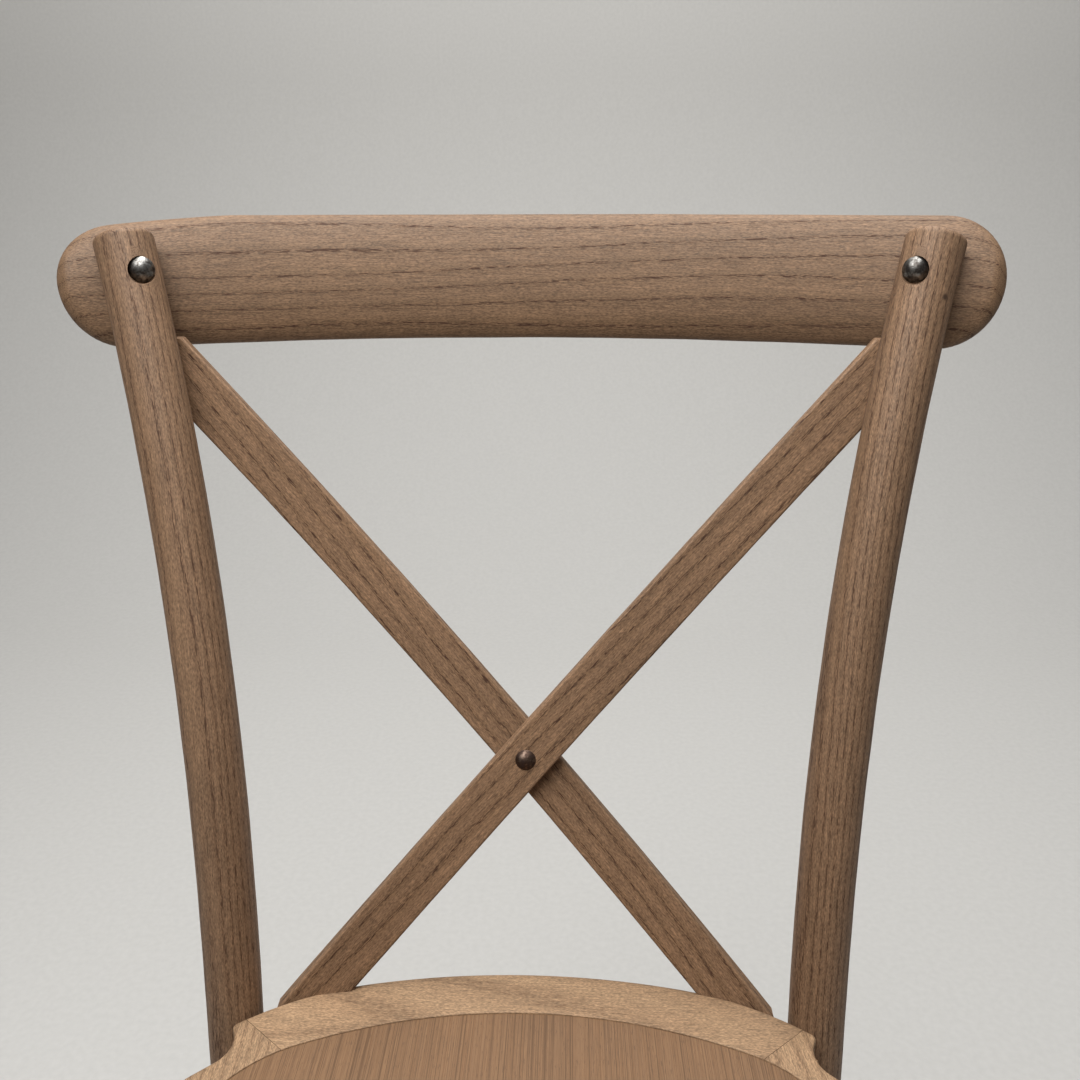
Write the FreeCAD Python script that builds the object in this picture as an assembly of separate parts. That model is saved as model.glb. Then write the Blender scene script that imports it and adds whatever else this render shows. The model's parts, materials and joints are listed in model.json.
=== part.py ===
import FreeCAD, Part
import math
import os

# Cross back dining chair, built as separate pieces. Sizes are in millimetres.
# While it is drawn, the seat's rear edge is at Y 0, the floor at Z 0 and the chair faces minus Y.
# At the end every piece moves together, so that the origin is on the floor under the middle.

Vector = FreeCAD.Vector
X_AXIS = Vector(1, 0, 0)
Y_AXIS = Vector(0, 1, 0)
Z_AXIS = Vector(0, 0, 1)
FLOOR = Vector(0, 0, 0)
FINE = 0.01

# Clearances
glue_gap = 0.1
panel_gap = 1.0
lap_gap = 1.0
housing_gap = 0.3
seat_margin = 0.3

# Seat outline, seen from above, right half. Each pair is a half width and a distance back.
seat_height = 460.0
seat_depth = 425.0
rim_thickness = 24.0
rear_radius = 430.0
rear_arc_half = 90.0
ear_half = 161.0
ear_back = 43.0
scoop_depth = 4.4
scoop_length = 26.5
scoop_widening = 3.0
scoop_deepest = 0.43
shoulder_half = 200.0
shoulder_back = 135.0
corner_half = 208.0
corner_length = 73.0
corner_width = 62.0
front_bow = 7.0
ear_round = 3.0
rim_edge_bevel = 1.5

# Seat opening and panel
rim_width_rear = 30.0
rim_width_side = 32.0
rim_width_corner = 41.0
rim_width_front = 37.0
opening_radius = 300.0
opening_arc_half = 118.0
opening_shoulder_step = 10.0
opening_corner_step = 17.0
opening_front_step = 24.0
opening_front_bow = 5.5
ledge_width = 12.0
panel_sink = 1.0
panel_core_thickness = 7.8
veneer_thickness = 1.2

# Joints of the rim's four pieces. Each starts a step past one corner of the opening.
rear_joint_step = (11.0, -5.3)
rear_joint_angle = 39.7
rear_joint_length = 33.0
front_joint_step = (6.0, 3.5)
front_joint_angle = -73.0
front_joint_length = 41.1
dowel_diameter = 8.0
dowel_length = 30.0
dowel_drop = 8.0
dowel_places = (0.28, 0.7)
cut_margin = 5.0

# Back posts, which are the rear legs too
post_diameter = 31.0
post_foot_diameter = 27.0
post_past_ear = 3.1
post_behind_ear = 16.5
post_lean = 0.135
post_bow = 35.2
post_flare = 44.2
post_flare_rise = 400.0
post_flare_power = 2.2
post_foot_out = 22.0
post_foot_back = 110.0
post_top_rise = 414.0
post_top_round = 3.5
post_top_angles = (45, 90)
post_rod_stations = 9
post_taper_stations = 5
taper_below_brace = 12.0

# Crest rail
rail_half_length = 250.0
rail_height = 70.4
rail_thickness = 22.0
rail_radius = 584.0
rail_rise = 388.9
rail_tilt = 14.0
rail_end_length = 33.0
rail_housing = 3.0
rail_body_steps = (0.0, 0.2, 0.4, 0.6, 0.8)
rail_shoulder_height = 0.985
rail_end_steps = (0.45, 0.75, 0.93)
rail_tip_thickness = 0.62
rail_tip_fall = 1.9
rail_tip_step = 0.998
rail_tip_depth = 0.09
rail_edge_share = 0.45

# Crossed slats
slat_width = 28.0
slat_thickness = 9.0
slat_corner = 1.6
slat_top_inset = 6.5
slat_top_rise = 345.0
slat_foot_inset = 32.5
slat_foot_rise = -12.0
slat_foot_sink = 3.2
slat_front_bow = 11.0
slat_housing = 1.5
slat_foot_twist = 12.0
slat_top_trim = 357.5
slat_top_reach = 8.0
slat_foot_trim = -19.0
slat_foot_reach = 12.5
slat_overrun = 0.09
slat_stations = 9

# Front legs
leg_side_inset = 31.0
leg_front_inset = 46.0
leg_top_diameter = 36.0
leg_foot_diameter = 26.0
leg_foot_out = 12.0
leg_foot_front = 8.0
leg_swell = 1.2
leg_swell_place = 0.5
leg_foot_collar = 14.0
leg_tenon_diameter = 22.0
leg_tenon_length = 17.0

# Bentwood braces under the seat
brace_width = 24.0
brace_thickness = 11.0
brace_drop = 150.0
brace_bend_radius = 95.0
brace_housing = 2.0
brace_housing_past_bend = 40.0

# Foot glides and their nails
glide_diameter = 20.0
glide_height = 5.0
glide_recess_diameter = 8.0
glide_recess_height = 2.6
nail_diameter = 2.8
nail_head_diameter = 6.5
nail_head_height = 1.2
nail_length = 22.0

# Rivets of the rail and of the slats' crossing
rivet_head_diameter = 13.4
rivet_head_height = 4.0
rivet_shank_diameter = 5.5
rivet_rise = 397.5
rivet_turn = 25.0
rivet_offset = 5.0
rivet_seat_depth = 12.6
cross_rivet_head_diameter = 12.0
cross_rivet_head_height = 3.4
cross_seat_depth = 0.2
washer_diameter = 13.0
washer_thickness = 1.4
rivet_tail_diameter = 8.4
rivet_tail_height = 2.2
dome_steps = ((1.0, 0.0), (0.82, 0.55), (0.45, 1.0))
rivet_washer_seat = 1.2

# Screws
screw_diameter = 4.0
screw_head_diameter = 8.0
screw_head_height = 2.8
fixing_sides = 8
washer_sides = 12
rivet_sides = 16
hexagon_sides = 6
brace_leg_screw_length = 26.0
brace_leg_screw_rise = 20.0
brace_seat_screw_length = 24.0
brace_seat_screw_inset = 14.0
slat_top_screw_length = 24.0
slat_foot_screw_length = 22.0
panel_screw_length = 19.0
panel_screw_steps = ((0.5, 1.0), (1.0, 0.7), (0.95, 0.3), (0.4, 0.0))
lag_diameter = 6.0
lag_length = 54.0
lag_drop = 17.5
lag_head_flats = 10.0
lag_head_height = 4.2
lag_seat_depth = 3.0

# Sizes that follow from the ones above
ample = 2 * seat_height
rim_top = seat_height
rim_bottom = seat_height - rim_thickness
taper_top = rim_bottom - brace_drop - taper_below_brace
rebate_floor = rim_top - panel_sink - veneer_thickness - panel_core_thickness
post_half_spacing = ear_half + post_past_ear
post_back_at_seat = post_behind_ear - ear_back
leg_half_spacing = corner_half - leg_side_inset
leg_back = leg_front_inset - seat_depth
slat_foot_half = ear_half - slat_foot_inset
opening_front_back = seat_depth - rim_width_front


# Small helpers
def mirrored(shape):
    return shape.mirror(FLOOR, X_AXIS)


def rod(start, direction, diameter, length):
    return Part.makeCylinder(diameter / 2, length, start, direction)


def passage(start, direction, diameter, length):
    """Round hole for a shank, a little longer than the run it is given."""
    return rod(start - direction * cut_margin, direction, diameter + 2 * glue_gap, length + 2 * cut_margin)


def corner_ring(radius, height, sides):
    """Closed row of corner points round Z."""
    turns = [math.tau * (index % sides) / sides for index in range(sides + 1)]
    return [Vector(radius * math.cos(turn), radius * math.sin(turn), height) for turn in turns]


def flat_sided(start, direction, diameter, length, sides):
    """Prism in place of a round rod, with few faces, for fixings that repeat. Diameter is over corners."""
    block = Part.Face(Part.makePolygon(corner_ring(diameter / 2, 0, sides))).extrude(Z_AXIS * length)
    block.Placement = FreeCAD.Placement(start, FreeCAD.Rotation(Z_AXIS, direction))
    return block


def flat_dome(start, direction, diameter, height):
    """Low dome of flat faces that stands on the start point."""
    rings = [corner_ring(diameter / 2 * share, height * rise, rivet_sides) for share, rise in dome_steps]
    outlines = [rings[0], rings[-1]]
    for low, high in zip(rings, rings[1:]):
        for i in range(rivet_sides):
            outlines.append([low[i], low[i + 1], high[i + 1], high[i], low[i]])
    dome = Part.Solid(Part.Shell([Part.Face(Part.makePolygon(outline)) for outline in outlines]))
    dome.Placement = FreeCAD.Placement(start, FreeCAD.Rotation(Z_AXIS, direction))
    return dome


def revolved(profile, start, direction):
    """Solid turned about its own axis. The profile is a list of (radius, distance) points."""
    points = [Vector(radius, 0, along) for radius, along in profile]
    solid = Part.Face(Part.makePolygon(points + [points[0]])).revolve(FLOOR, Z_AXIS, 360)
    solid.Placement = FreeCAD.Placement(start, FreeCAD.Rotation(Z_AXIS, direction))
    return solid


def four_arc_ring(centre, tall_axis, deep_axis, tall, deep, edge):
    """Oval of four smooth arcs: two round edges and two broad faces. It is a circle where all are equal."""
    if tall - edge < FINE:
        broad = deep
        meet = math.sqrt(0.5)
        tall_meet = deep_meet = deep * meet
        tip = deep
    else:
        broad = ((tall - edge) ** 2 / (deep - edge) + edge + deep) / 2
        lean = math.atan2(tall - edge, broad - deep)
        tall_meet = broad * math.sin(lean)
        deep_meet = deep - broad + broad * math.cos(lean)
        tip = tall
    places = [(tall_meet, -deep_meet), (tip, 0), (tall_meet, deep_meet), (0, deep),
              (-tall_meet, deep_meet), (-tip, 0), (-tall_meet, -deep_meet), (0, -deep)]
    points = [centre + tall_axis * p + deep_axis * q for p, q in places]
    arcs = [Part.Arc(points[i], points[i + 1], points[(i + 2) % 8]).toShape() for i in (0, 2, 4, 6)]
    return Part.Wire(arcs)


def arc_leaving(start, heading, end):
    """Arc from start to end that leaves along heading, and its heading at the end."""
    chord = end - start
    side = Vector(-heading.y, heading.x, 0)
    radius = chord.dot(chord) / (2 * chord.dot(side))
    centre = start + side * radius
    outward = (start + end) * 0.5 - centre
    middle = centre + outward.normalize() * abs(radius)
    along = Vector(chord).normalize()
    leaving = along * (2 * along.dot(heading)) - heading
    return (start, middle, end), leaving


def symmetric_wire(arcs):
    """Closed wire of arcs, each given by three points, and their mirror images."""
    other_side = [[Vector(-p.x, p.y, p.z) for p in arc] for arc in arcs]
    edges = [Part.Arc(*arc).toShape() for arc in arcs + other_side]
    return Part.Wire(Part.__sortEdges__(edges))


def prism(wire, bottom, top):
    raised = wire.copy()
    raised.translate(Vector(0, 0, bottom))
    return Part.Face(raised).extrude(Vector(0, 0, top - bottom))


def upright_edges(solid, half, back):
    """The two upright edges of a prism at a half width and a distance back from the rear."""
    found = []
    for edge in solid.Edges:
        box = edge.BoundBox
        if box.XLength < FINE and box.YLength < FINE and abs(abs(box.XMin) - half) < FINE:
            if abs(box.YMin + back) < FINE:
                found.append(edge)
    return found


def edges_at(solid, height):
    """Edges that lie in one level plane."""
    return [e for e in solid.Edges if abs(e.BoundBox.ZMin - height) < FINE
            and abs(e.BoundBox.ZMax - height) < FINE]


def cut_each(shape, tools):
    """Cut one tool at a time, leaving out the tools that are nowhere near."""
    for tool in tools:
        if shape.BoundBox.intersect(tool.BoundBox):
            shape = shape.cut(tool)
    return shape


# Centre line of the back post, by height above the seat
def post_centre(rise):
    back = post_back_at_seat + post_lean * rise
    out = post_half_spacing
    if rise > 0:
        back += post_bow * (rise / post_flare_rise) ** 2
        out += post_flare * (rise / post_flare_rise) ** post_flare_power
    else:
        back += post_foot_back * (rise / seat_height) ** 2
        out += post_foot_out * (rise / seat_height) ** 2
    return Vector(out, back, seat_height + rise)


def post_heading(rise):
    return (post_centre(rise + 1) - post_centre(rise - 1)).normalize()


# Centre line of the rail, by distance along it from the middle
def rail_middle():
    seat_point = post_centre(rail_rise)
    angle = math.asin(seat_point.x / rail_radius)
    reach = post_diameter / 2 - rail_housing + rail_thickness / 2
    half = seat_point.x + reach * math.sin(angle)
    back = seat_point.y + reach * math.cos(angle)
    return back + rail_radius - math.sqrt(rail_radius ** 2 - half ** 2)


def rail_centre(distance):
    angle = distance / rail_radius
    centre_back = rail_middle() - rail_radius
    place = Vector(math.sin(angle), math.cos(angle), 0) * rail_radius
    return place + Vector(0, centre_back, seat_height + rail_rise)


def rail_outward(distance):
    angle = distance / rail_radius
    return Vector(math.sin(angle), math.cos(angle), 0)


# Seat rim
def front_to_shoulder(depth, bow, front_half, corner, shoulder):
    """Arcs of the front edge, the front corner and the side, each running into the next."""
    front, heading = arc_leaving(Vector(0, -depth, 0), X_AXIS, Vector(front_half, bow - depth, 0))
    bend, heading = arc_leaving(front[2], heading, corner)
    side, heading = arc_leaving(corner, heading, shoulder)
    return [front, bend, side], heading


def arc_end(radius, half, start):
    """Right end of a level arc of this radius that starts at a distance back from the rear."""
    return Vector(half, math.sqrt(radius ** 2 - half ** 2) - radius - start, 0)


def outer_outline():
    corner = Vector(corner_half, corner_length - seat_depth, 0)
    shoulder = Vector(shoulder_half, -shoulder_back, 0)
    ear = Vector(ear_half, -ear_back, 0)
    scoop_end = ear + Vector(scoop_widening, -scoop_length, 0)
    deepest = Vector(ear_half - scoop_depth, -ear_back - scoop_length * scoop_deepest, 0)
    rear_end = arc_end(rear_radius, rear_arc_half, 0)
    arcs, heading = front_to_shoulder(seat_depth, front_bow, corner_half - corner_width, corner, shoulder)
    arcs.append(arc_leaving(shoulder, heading, scoop_end)[0])
    arcs.append((scoop_end, deepest, ear))
    rear, heading = arc_leaving(FLOOR, X_AXIS, rear_end)
    arcs.append(rear)
    arcs.append(arc_leaving(rear_end, heading, ear)[0])
    return symmetric_wire(arcs)


def opening_front_end():
    half = corner_half - corner_width - opening_front_step
    return Vector(half, opening_front_bow - opening_front_back, 0)


def opening_outline():
    corner = Vector(corner_half - rim_width_corner, corner_length + opening_corner_step - seat_depth, 0)
    shoulder = Vector(shoulder_half - rim_width_side, opening_shoulder_step - shoulder_back, 0)
    rear_end = arc_end(opening_radius, opening_arc_half, rim_width_rear)
    arcs, heading = front_to_shoulder(opening_front_back, opening_front_bow, opening_front_end().x,
                                      corner, shoulder)
    arcs.append(arc_leaving(shoulder, heading, rear_end)[0])
    arcs.append(arc_leaving(Vector(0, -rim_width_rear, 0), X_AXIS, rear_end)[0])
    return symmetric_wire(arcs)


def rear_edge(half):
    """Place on the seat's rear edge at one half width."""
    line = Part.makeLine(Vector(half, seat_depth, 0), Vector(half, -ear_back, 0))
    return outer_outline().distToShape(line)[1][0][0]


def rim_ring():
    """The whole rim in one piece, before it is cut at its joints."""
    blank = prism(outer_outline(), rim_bottom, rim_top)
    blank = blank.makeFillet(ear_round, upright_edges(blank, ear_half, ear_back))
    blank = blank.makeChamfer(rim_edge_bevel, edges_at(blank, rim_top) + edges_at(blank, rim_bottom))
    opening = opening_outline()
    rebate = prism(opening, rebate_floor, rim_top + cut_margin)
    ledge = prism(opening.makeOffset2D(-ledge_width), rim_bottom - cut_margin, rebate_floor + cut_margin)
    return blank.cut(rebate).cut(ledge)


def joint_line(corner, step, angle, length):
    """Inner and outer end of one joint of the rim."""
    inner = corner + Vector(step[0], step[1], 0)
    turn = math.radians(angle)
    return inner, inner + Vector(math.cos(turn), math.sin(turn), 0) * length


def joint_block(inner, outer, back):
    """Upright block that holds the rim's piece between a pair of mirrored joints."""
    reach = outer - inner
    far = outer + reach
    near = inner - reach
    right = [near, far, Vector(far.x, back, 0)]
    left = [Vector(-p.x, p.y, 0) for p in reversed(right)]
    corners = right + left
    return prism(Part.makePolygon(corners + [corners[0]]), rim_bottom - cut_margin, rim_top + cut_margin)


def joint_dowels(inner, outer, gap=0.0):
    """Two dowels square to one joint, and the same pair mirrored."""
    across = outer - inner
    direction = Vector(-across.y, across.x, 0).normalize()
    length = dowel_length + 2 * gap
    pins = []
    for share in dowel_places:
        middle = inner + across * share + Z_AXIS * (rim_top - dowel_drop)
        pins.append(flat_sided(middle - direction * (length / 2), direction,
                               dowel_diameter + 2 * gap, length, fixing_sides))
    return pins + [mirrored(pin) for pin in pins]


# Directions shared by the two slats, which lie in one leaning plane
slat_top_post = post_centre(slat_top_rise)
slat_top_half = slat_top_post.x - slat_top_inset
slat_top_back = slat_top_post.y + post_diameter / 2 - slat_housing + slat_thickness / 2
slat_foot_back = rear_edge(slat_foot_half).y + slat_foot_sink
slat_run = Vector(slat_top_half + slat_foot_half,
                  slat_top_back - slat_foot_back,
                  slat_top_rise - slat_foot_rise)
slat_normal = Vector(0, slat_run.z, -slat_run.y).normalize()
cross_share = slat_foot_half / (slat_foot_half + slat_top_half)
slat_rear_bow = slat_front_bow + (slat_thickness + lap_gap) / (4 * cross_share * (1 - cross_share))


def slat_point(share, bow):
    """Middle of the front slat's section. The rear one mirrors it with its own bow."""
    foot = Vector(-slat_foot_half, slat_foot_back, seat_height + slat_foot_rise)
    return foot + slat_run * share + slat_normal * (4 * bow * share * (1 - share))


def slat_frame(share, bow):
    """Heading, face normal and width direction of the slat at one share of its run."""
    heading = (slat_run + slat_normal * (4 * bow * (1 - 2 * share))).normalize()
    across = heading.cross(slat_normal).normalize()
    normal = across.cross(heading).normalize()
    twist = slat_foot_twist * max(0.0, 1 - share / cross_share) ** 2
    turn = FreeCAD.Rotation(heading, twist)
    return heading, turn.multVec(normal), turn.multVec(across)


def eased_section(centre, across, normal, width, thickness, corner):
    """Closed wire of a rectangle with eased corners."""
    a = width / 2
    b = thickness / 2
    outline = []
    for sx, sy in ((1, 1), (-1, 1), (-1, -1), (1, -1)):
        pair = [(sx * a, sy * (b - corner)), (sx * (a - corner), sy * b)]
        outline += pair if sx == sy else pair[::-1]
    points = [centre + across * p + normal * q for p, q in outline]
    return Part.makePolygon(points + [points[0]])


# Screws, rivets and washers
def wood_screw(start, direction, length):
    """Screw whose sunk head starts at its flush face."""
    head = flat_sided(start, direction, screw_head_diameter, screw_head_height, fixing_sides)
    return head.fuse(flat_sided(start, direction, screw_diameter, length, fixing_sides))


def domed_rivet(start, direction, head_diameter, head_height, length):
    """Head outside the start point, shank along direction, tail spread behind length."""
    head = flat_dome(start, direction * -1, head_diameter, head_height)
    tail = flat_dome(start + direction * length, direction, rivet_tail_diameter, rivet_tail_height)
    shank = flat_sided(start, direction, rivet_shank_diameter, length, rivet_sides)
    return head.fuse(shank).fuse(tail)


def washer(start, direction, shank_diameter):
    hole_diameter = (shank_diameter + 2 * glue_gap) / math.cos(math.pi / washer_sides)
    disc = flat_sided(start, direction, washer_diameter, washer_thickness, washer_sides)
    return disc.cut(flat_sided(start, direction, hole_diameter, washer_thickness, washer_sides))


def seat_bore(start, direction, diameter):
    """Bore that gives a head or a washer a flat seat and room to reach it."""
    return rod(start, direction, diameter + 2 * seat_margin, post_diameter)


# Back posts
def post_foot(top_heading, gap):
    """Tapered foot below the braces. Its last ring lies level on the glide."""
    rings = []
    for index in range(post_taper_stations):
        share = index / (post_taper_stations - 1)
        rise = taper_top - share * (taper_top - glide_height) - seat_height
        heading = top_heading if index == 0 else post_heading(rise)
        if index == post_taper_stations - 1:
            heading = Z_AXIS
        radius = (post_diameter - share * (post_diameter - post_foot_diameter)) / 2 + gap
        side = Y_AXIS.cross(heading).normalize()
        rings.append(four_arc_ring(post_centre(rise), side, heading.cross(side), radius, radius, radius))
    return Part.makeLoft(rings, True, True)


def back_post_blank(gap=0.0):
    """Steam bent rod of one thickness with a rounded top, and a tapered foot below the braces."""
    radius = post_diameter / 2 + gap
    low = taper_top - seat_height
    step = (post_top_rise - post_top_round - low) / (post_rod_stations - 1)
    line = [post_centre(low + step * i) for i in range(post_rod_stations)]
    low_heading = (line[1] - line[0]).normalize()
    circle = Part.Wire(Part.makeCircle(radius, line[0], low_heading))
    shaft = Part.makePolygon(line).makePipeShell([circle], True, False, 1)
    profile = [(0, 0), (radius, 0)]
    for angle in post_top_angles:
        turn = math.radians(angle)
        profile.append((radius - post_top_round * (1 - math.cos(turn)), post_top_round * math.sin(turn)))
    profile.append((0, post_top_round))
    top = revolved(profile, line[-1], (line[-1] - line[-2]).normalize())
    return shaft.fuse(top).fuse(post_foot(low_heading, gap))


# Rivet axes on the right post
def crest_rivet_axis():
    """Point under the head and direction of the right rivet."""
    turn = math.radians(rivet_turn)
    direction = Vector(math.sin(turn), math.cos(turn), 0)
    inward = Vector(-math.cos(turn), math.sin(turn), 0)
    centre = post_centre(rivet_rise) + inward * rivet_offset
    return centre - direction * rivet_seat_depth, direction


# Crest rail
def crest_rail_blank():
    """Bowed rail, lofted through leaning ovals that shrink to its round ends."""
    half_arc = rail_radius * math.asin(rail_half_length / rail_radius)
    full = half_arc - rail_end_length
    places = [(full * step, 1, 1) for step in rail_body_steps]
    places.append((full, rail_shoulder_height, 1))
    for share in rail_end_steps:
        height = math.sqrt(1 - share ** 2)
        depth = rail_tip_thickness + (1 - rail_tip_thickness) * height
        places.append((full + share * rail_end_length, height, depth * min(1, height * rail_tip_fall)))
    tip_height = math.sqrt(1 - rail_tip_step ** 2)
    places.append((full + rail_tip_step * rail_end_length, tip_height, rail_tip_depth))
    stations = [(-p, h, t) for p, h, t in reversed(places[1:])] + places
    rings = []
    lean = math.radians(rail_tilt)
    for distance, height, thickness in stations:
        outward = rail_outward(distance)
        long_axis = Z_AXIS * math.cos(lean) + outward * math.sin(lean)
        short_axis = outward * math.cos(lean) - Z_AXIS * math.sin(lean)
        deep = rail_thickness * thickness / 2
        rings.append(four_arc_ring(rail_centre(distance), long_axis, short_axis,
                                   rail_height * height / 2, deep, deep * rail_edge_share))
    return Part.makeLoft(rings, True, True)


# Crossed slats
def slat_blank(bow, gap=0.0):
    rings = []
    for index in range(slat_stations):
        share = -slat_overrun + index * (1 + 2 * slat_overrun) / (slat_stations - 1)
        heading, normal, across = slat_frame(share, bow)
        rings.append(eased_section(slat_point(share, bow), across, normal,
                                   slat_width + 2 * gap, slat_thickness + 2 * gap, slat_corner))
    return Part.makeLoft(rings, True, True)


def trimmed_slat(bow, gap=0.0):
    """Slat that runs from the left of the seat up to the right post, cut to length."""
    corner = Vector(-slat_foot_half - slat_foot_reach - gap, -ample / 2, seat_height + slat_foot_trim - gap)
    width = slat_top_post.x + slat_top_reach + gap - corner.x
    height = slat_top_trim - slat_foot_trim + 2 * gap
    return slat_blank(bow, gap).common(Part.makeBox(width, ample, height, corner))


def slat_screws(bow):
    """Screws at both ends of the slat that runs from lower left to upper right."""
    top_normal = slat_frame(1, bow)[1]
    top_face = slat_point(1, bow) + top_normal * (slat_thickness / 2)
    foot_normal = slat_frame(0, bow)[1]
    foot_face = slat_point(0, bow) + foot_normal * (slat_thickness / 2)
    foot = wood_screw(foot_face, foot_normal * -1, slat_foot_screw_length)
    return [wood_screw(top_face, top_normal * -1, slat_top_screw_length)], [foot]


# Front legs
def front_leg_centre(height):
    share = (rim_bottom - height) / (rim_bottom - glide_height)
    return Vector(leg_half_spacing + share * leg_foot_out, leg_back - share * leg_foot_front, height)


def front_leg_blank():
    """Right leg, turned to a slightly swelled taper below the braces, set to its splay and cut level."""
    top = front_leg_centre(rim_bottom)
    foot = front_leg_centre(glide_height)
    direction = (top - foot).normalize()
    length = (top - foot).Length
    spare = leg_top_diameter / 4
    taper = (front_leg_centre(taper_top) - foot).Length
    waist = (leg_top_diameter + leg_foot_diameter) / 4 + leg_swell
    waist_place = leg_foot_collar + (taper - leg_foot_collar) * leg_swell_place
    profile = [(0, -spare), (leg_foot_diameter / 2, -spare), (leg_foot_diameter / 2, leg_foot_collar),
               (waist, waist_place), (leg_top_diameter / 2, taper), (leg_top_diameter / 2, length + spare),
               (0, length + spare)]
    shaft = revolved(profile, foot, direction)
    keep = Part.makeBox(ample, ample, rim_bottom - glide_height, Vector(0, -ample, glide_height))
    tenon = rod(top - Z_AXIS * cut_margin, Z_AXIS, leg_tenon_diameter, leg_tenon_length + cut_margin)
    return shaft.common(keep).fuse(tenon)


# Bentwood braces
def brace_strip(span):
    """Arch in its own plane. It stands on its two ends and is centred on its own origin."""
    half = span / 2
    bend = brace_bend_radius
    inner_bend = bend - brace_thickness
    lift = brace_drop
    low = brace_thickness

    def side(sign, reach, top, radius):
        start = Vector(sign * reach, 0, 0)
        spring = Vector(sign * reach, 0, top - radius)
        crown = Vector(sign * (reach - radius), 0, top)
        fall = radius * (1 - math.sqrt(0.5))
        corner = Vector(sign * (reach - fall), 0, top - fall)
        return Part.makeLine(start, spring), Part.Arc(spring, corner, crown).toShape()

    edges = []
    for sign in (-1, 1):
        edges += side(sign, half, lift, bend)
        edges += side(sign, half - low, lift - low, inner_bend)
        edges.append(Part.makeLine(Vector(sign * half, 0, 0), Vector(sign * (half - low), 0, 0)))
    edges.append(Part.makeLine(Vector(bend - half, 0, lift), Vector(half - bend, 0, lift)))
    edges.append(Part.makeLine(Vector(bend - half, 0, lift - low), Vector(half - bend, 0, lift - low)))
    face = Part.Face(Part.Wire(Part.__sortEdges__(edges)))
    face.translate(Y_AXIS * (-brace_width / 2))
    return face.extrude(Y_AXIS * brace_width)


def placed_brace(start, end, start_radius, end_radius):
    """Brace between two leg centres, the housing it needs in them, its span and its placement."""
    run = Vector(end.x - start.x, end.y - start.y, 0)
    along = Vector(run).normalize()
    left = start + along * (start_radius - brace_housing)
    right = end - along * (end_radius - brace_housing)
    span = (right - left).Length
    middle = (left + right) * 0.5
    place = FreeCAD.Placement(Vector(middle.x, middle.y, rim_bottom - brace_drop),
                              FreeCAD.Rotation(X_AXIS, along))
    strip = brace_strip(span)
    strip.Placement = place
    wide = brace_width + 2 * housing_gap
    tall = brace_drop - brace_bend_radius + brace_housing_past_bend
    housing = Part.makeBox(span, wide, tall, Vector(-span / 2, -wide / 2, 0))
    housing.Placement = place
    return strip, housing, span, place


def brace_fixings(span, place):
    """Screws of one brace: one into each leg, two up into the rim."""
    leg_screws = []
    seat_screws = []
    for sign in (-1, 1):
        inner = Vector(sign * (span / 2 - brace_thickness), 0, brace_leg_screw_rise)
        outward = place.Rotation.multVec(Vector(sign, 0, 0))
        leg_screws.append(wood_screw(place.multVec(inner), outward, brace_leg_screw_length))
        under = Vector(sign * (span / 2 - brace_bend_radius - brace_seat_screw_inset), 0,
                       brace_drop - brace_thickness)
        seat_screws.append(wood_screw(place.multVec(under), Z_AXIS, brace_seat_screw_length))
    return leg_screws, seat_screws


# Foot glides
def foot_glide(centre):
    floor_point = Vector(centre.x, centre.y, 0)
    pad = rod(floor_point, Z_AXIS, glide_diameter, glide_height)
    recess = flat_sided(floor_point, Z_AXIS, glide_recess_diameter, glide_recess_height, fixing_sides)
    return pad.cut(recess).cut(flat_sided(floor_point, Z_AXIS, nail_diameter, glide_height, fixing_sides))


def glide_nail(centre):
    head_face = Vector(centre.x, centre.y, glide_recess_height - nail_head_height)
    head = flat_sided(head_face, Z_AXIS, nail_head_diameter, nail_head_height, fixing_sides)
    return head.fuse(flat_sided(head_face, Z_AXIS, nail_diameter, nail_length, fixing_sides))


def both(shapes):
    """These shapes and their mirror images."""
    return shapes + [mirrored(shape) for shape in shapes]


# Seat rim and its joints
ring = rim_ring()
rear_joint = joint_line(arc_end(opening_radius, opening_arc_half, rim_width_rear),
                        rear_joint_step, rear_joint_angle, rear_joint_length)
front_joint = joint_line(opening_front_end(), front_joint_step, front_joint_angle, front_joint_length)
rear_block = joint_block(*rear_joint, seat_depth / 2)
front_block = joint_block(*front_joint, -seat_depth - rim_width_front)
right_side = Part.makeBox(ample, ample, ample, Vector(0, -ample, 0))
rim_rear = ring.common(rear_block)
rim_front = ring.common(front_block)
rim_right = cut_each(ring, [rear_block, front_block]).common(right_side)
rear_dowels = joint_dowels(*rear_joint)
front_dowels = joint_dowels(*front_joint)
rear_holes = joint_dowels(*rear_joint, glue_gap)
front_holes = joint_dowels(*front_joint, glue_gap)

# Posts, rail and slats, before they are bored
post = back_post_blank()
post_space = back_post_blank(housing_gap)
rail = cut_each(crest_rail_blank(), both([post_space]))
slat_front = trimmed_slat(slat_front_bow)
slat_rear = mirrored(trimmed_slat(slat_rear_bow))
slat_front_space = trimmed_slat(slat_front_bow, housing_gap)
slat_rear_space = mirrored(trimmed_slat(slat_rear_bow, housing_gap))

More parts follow.
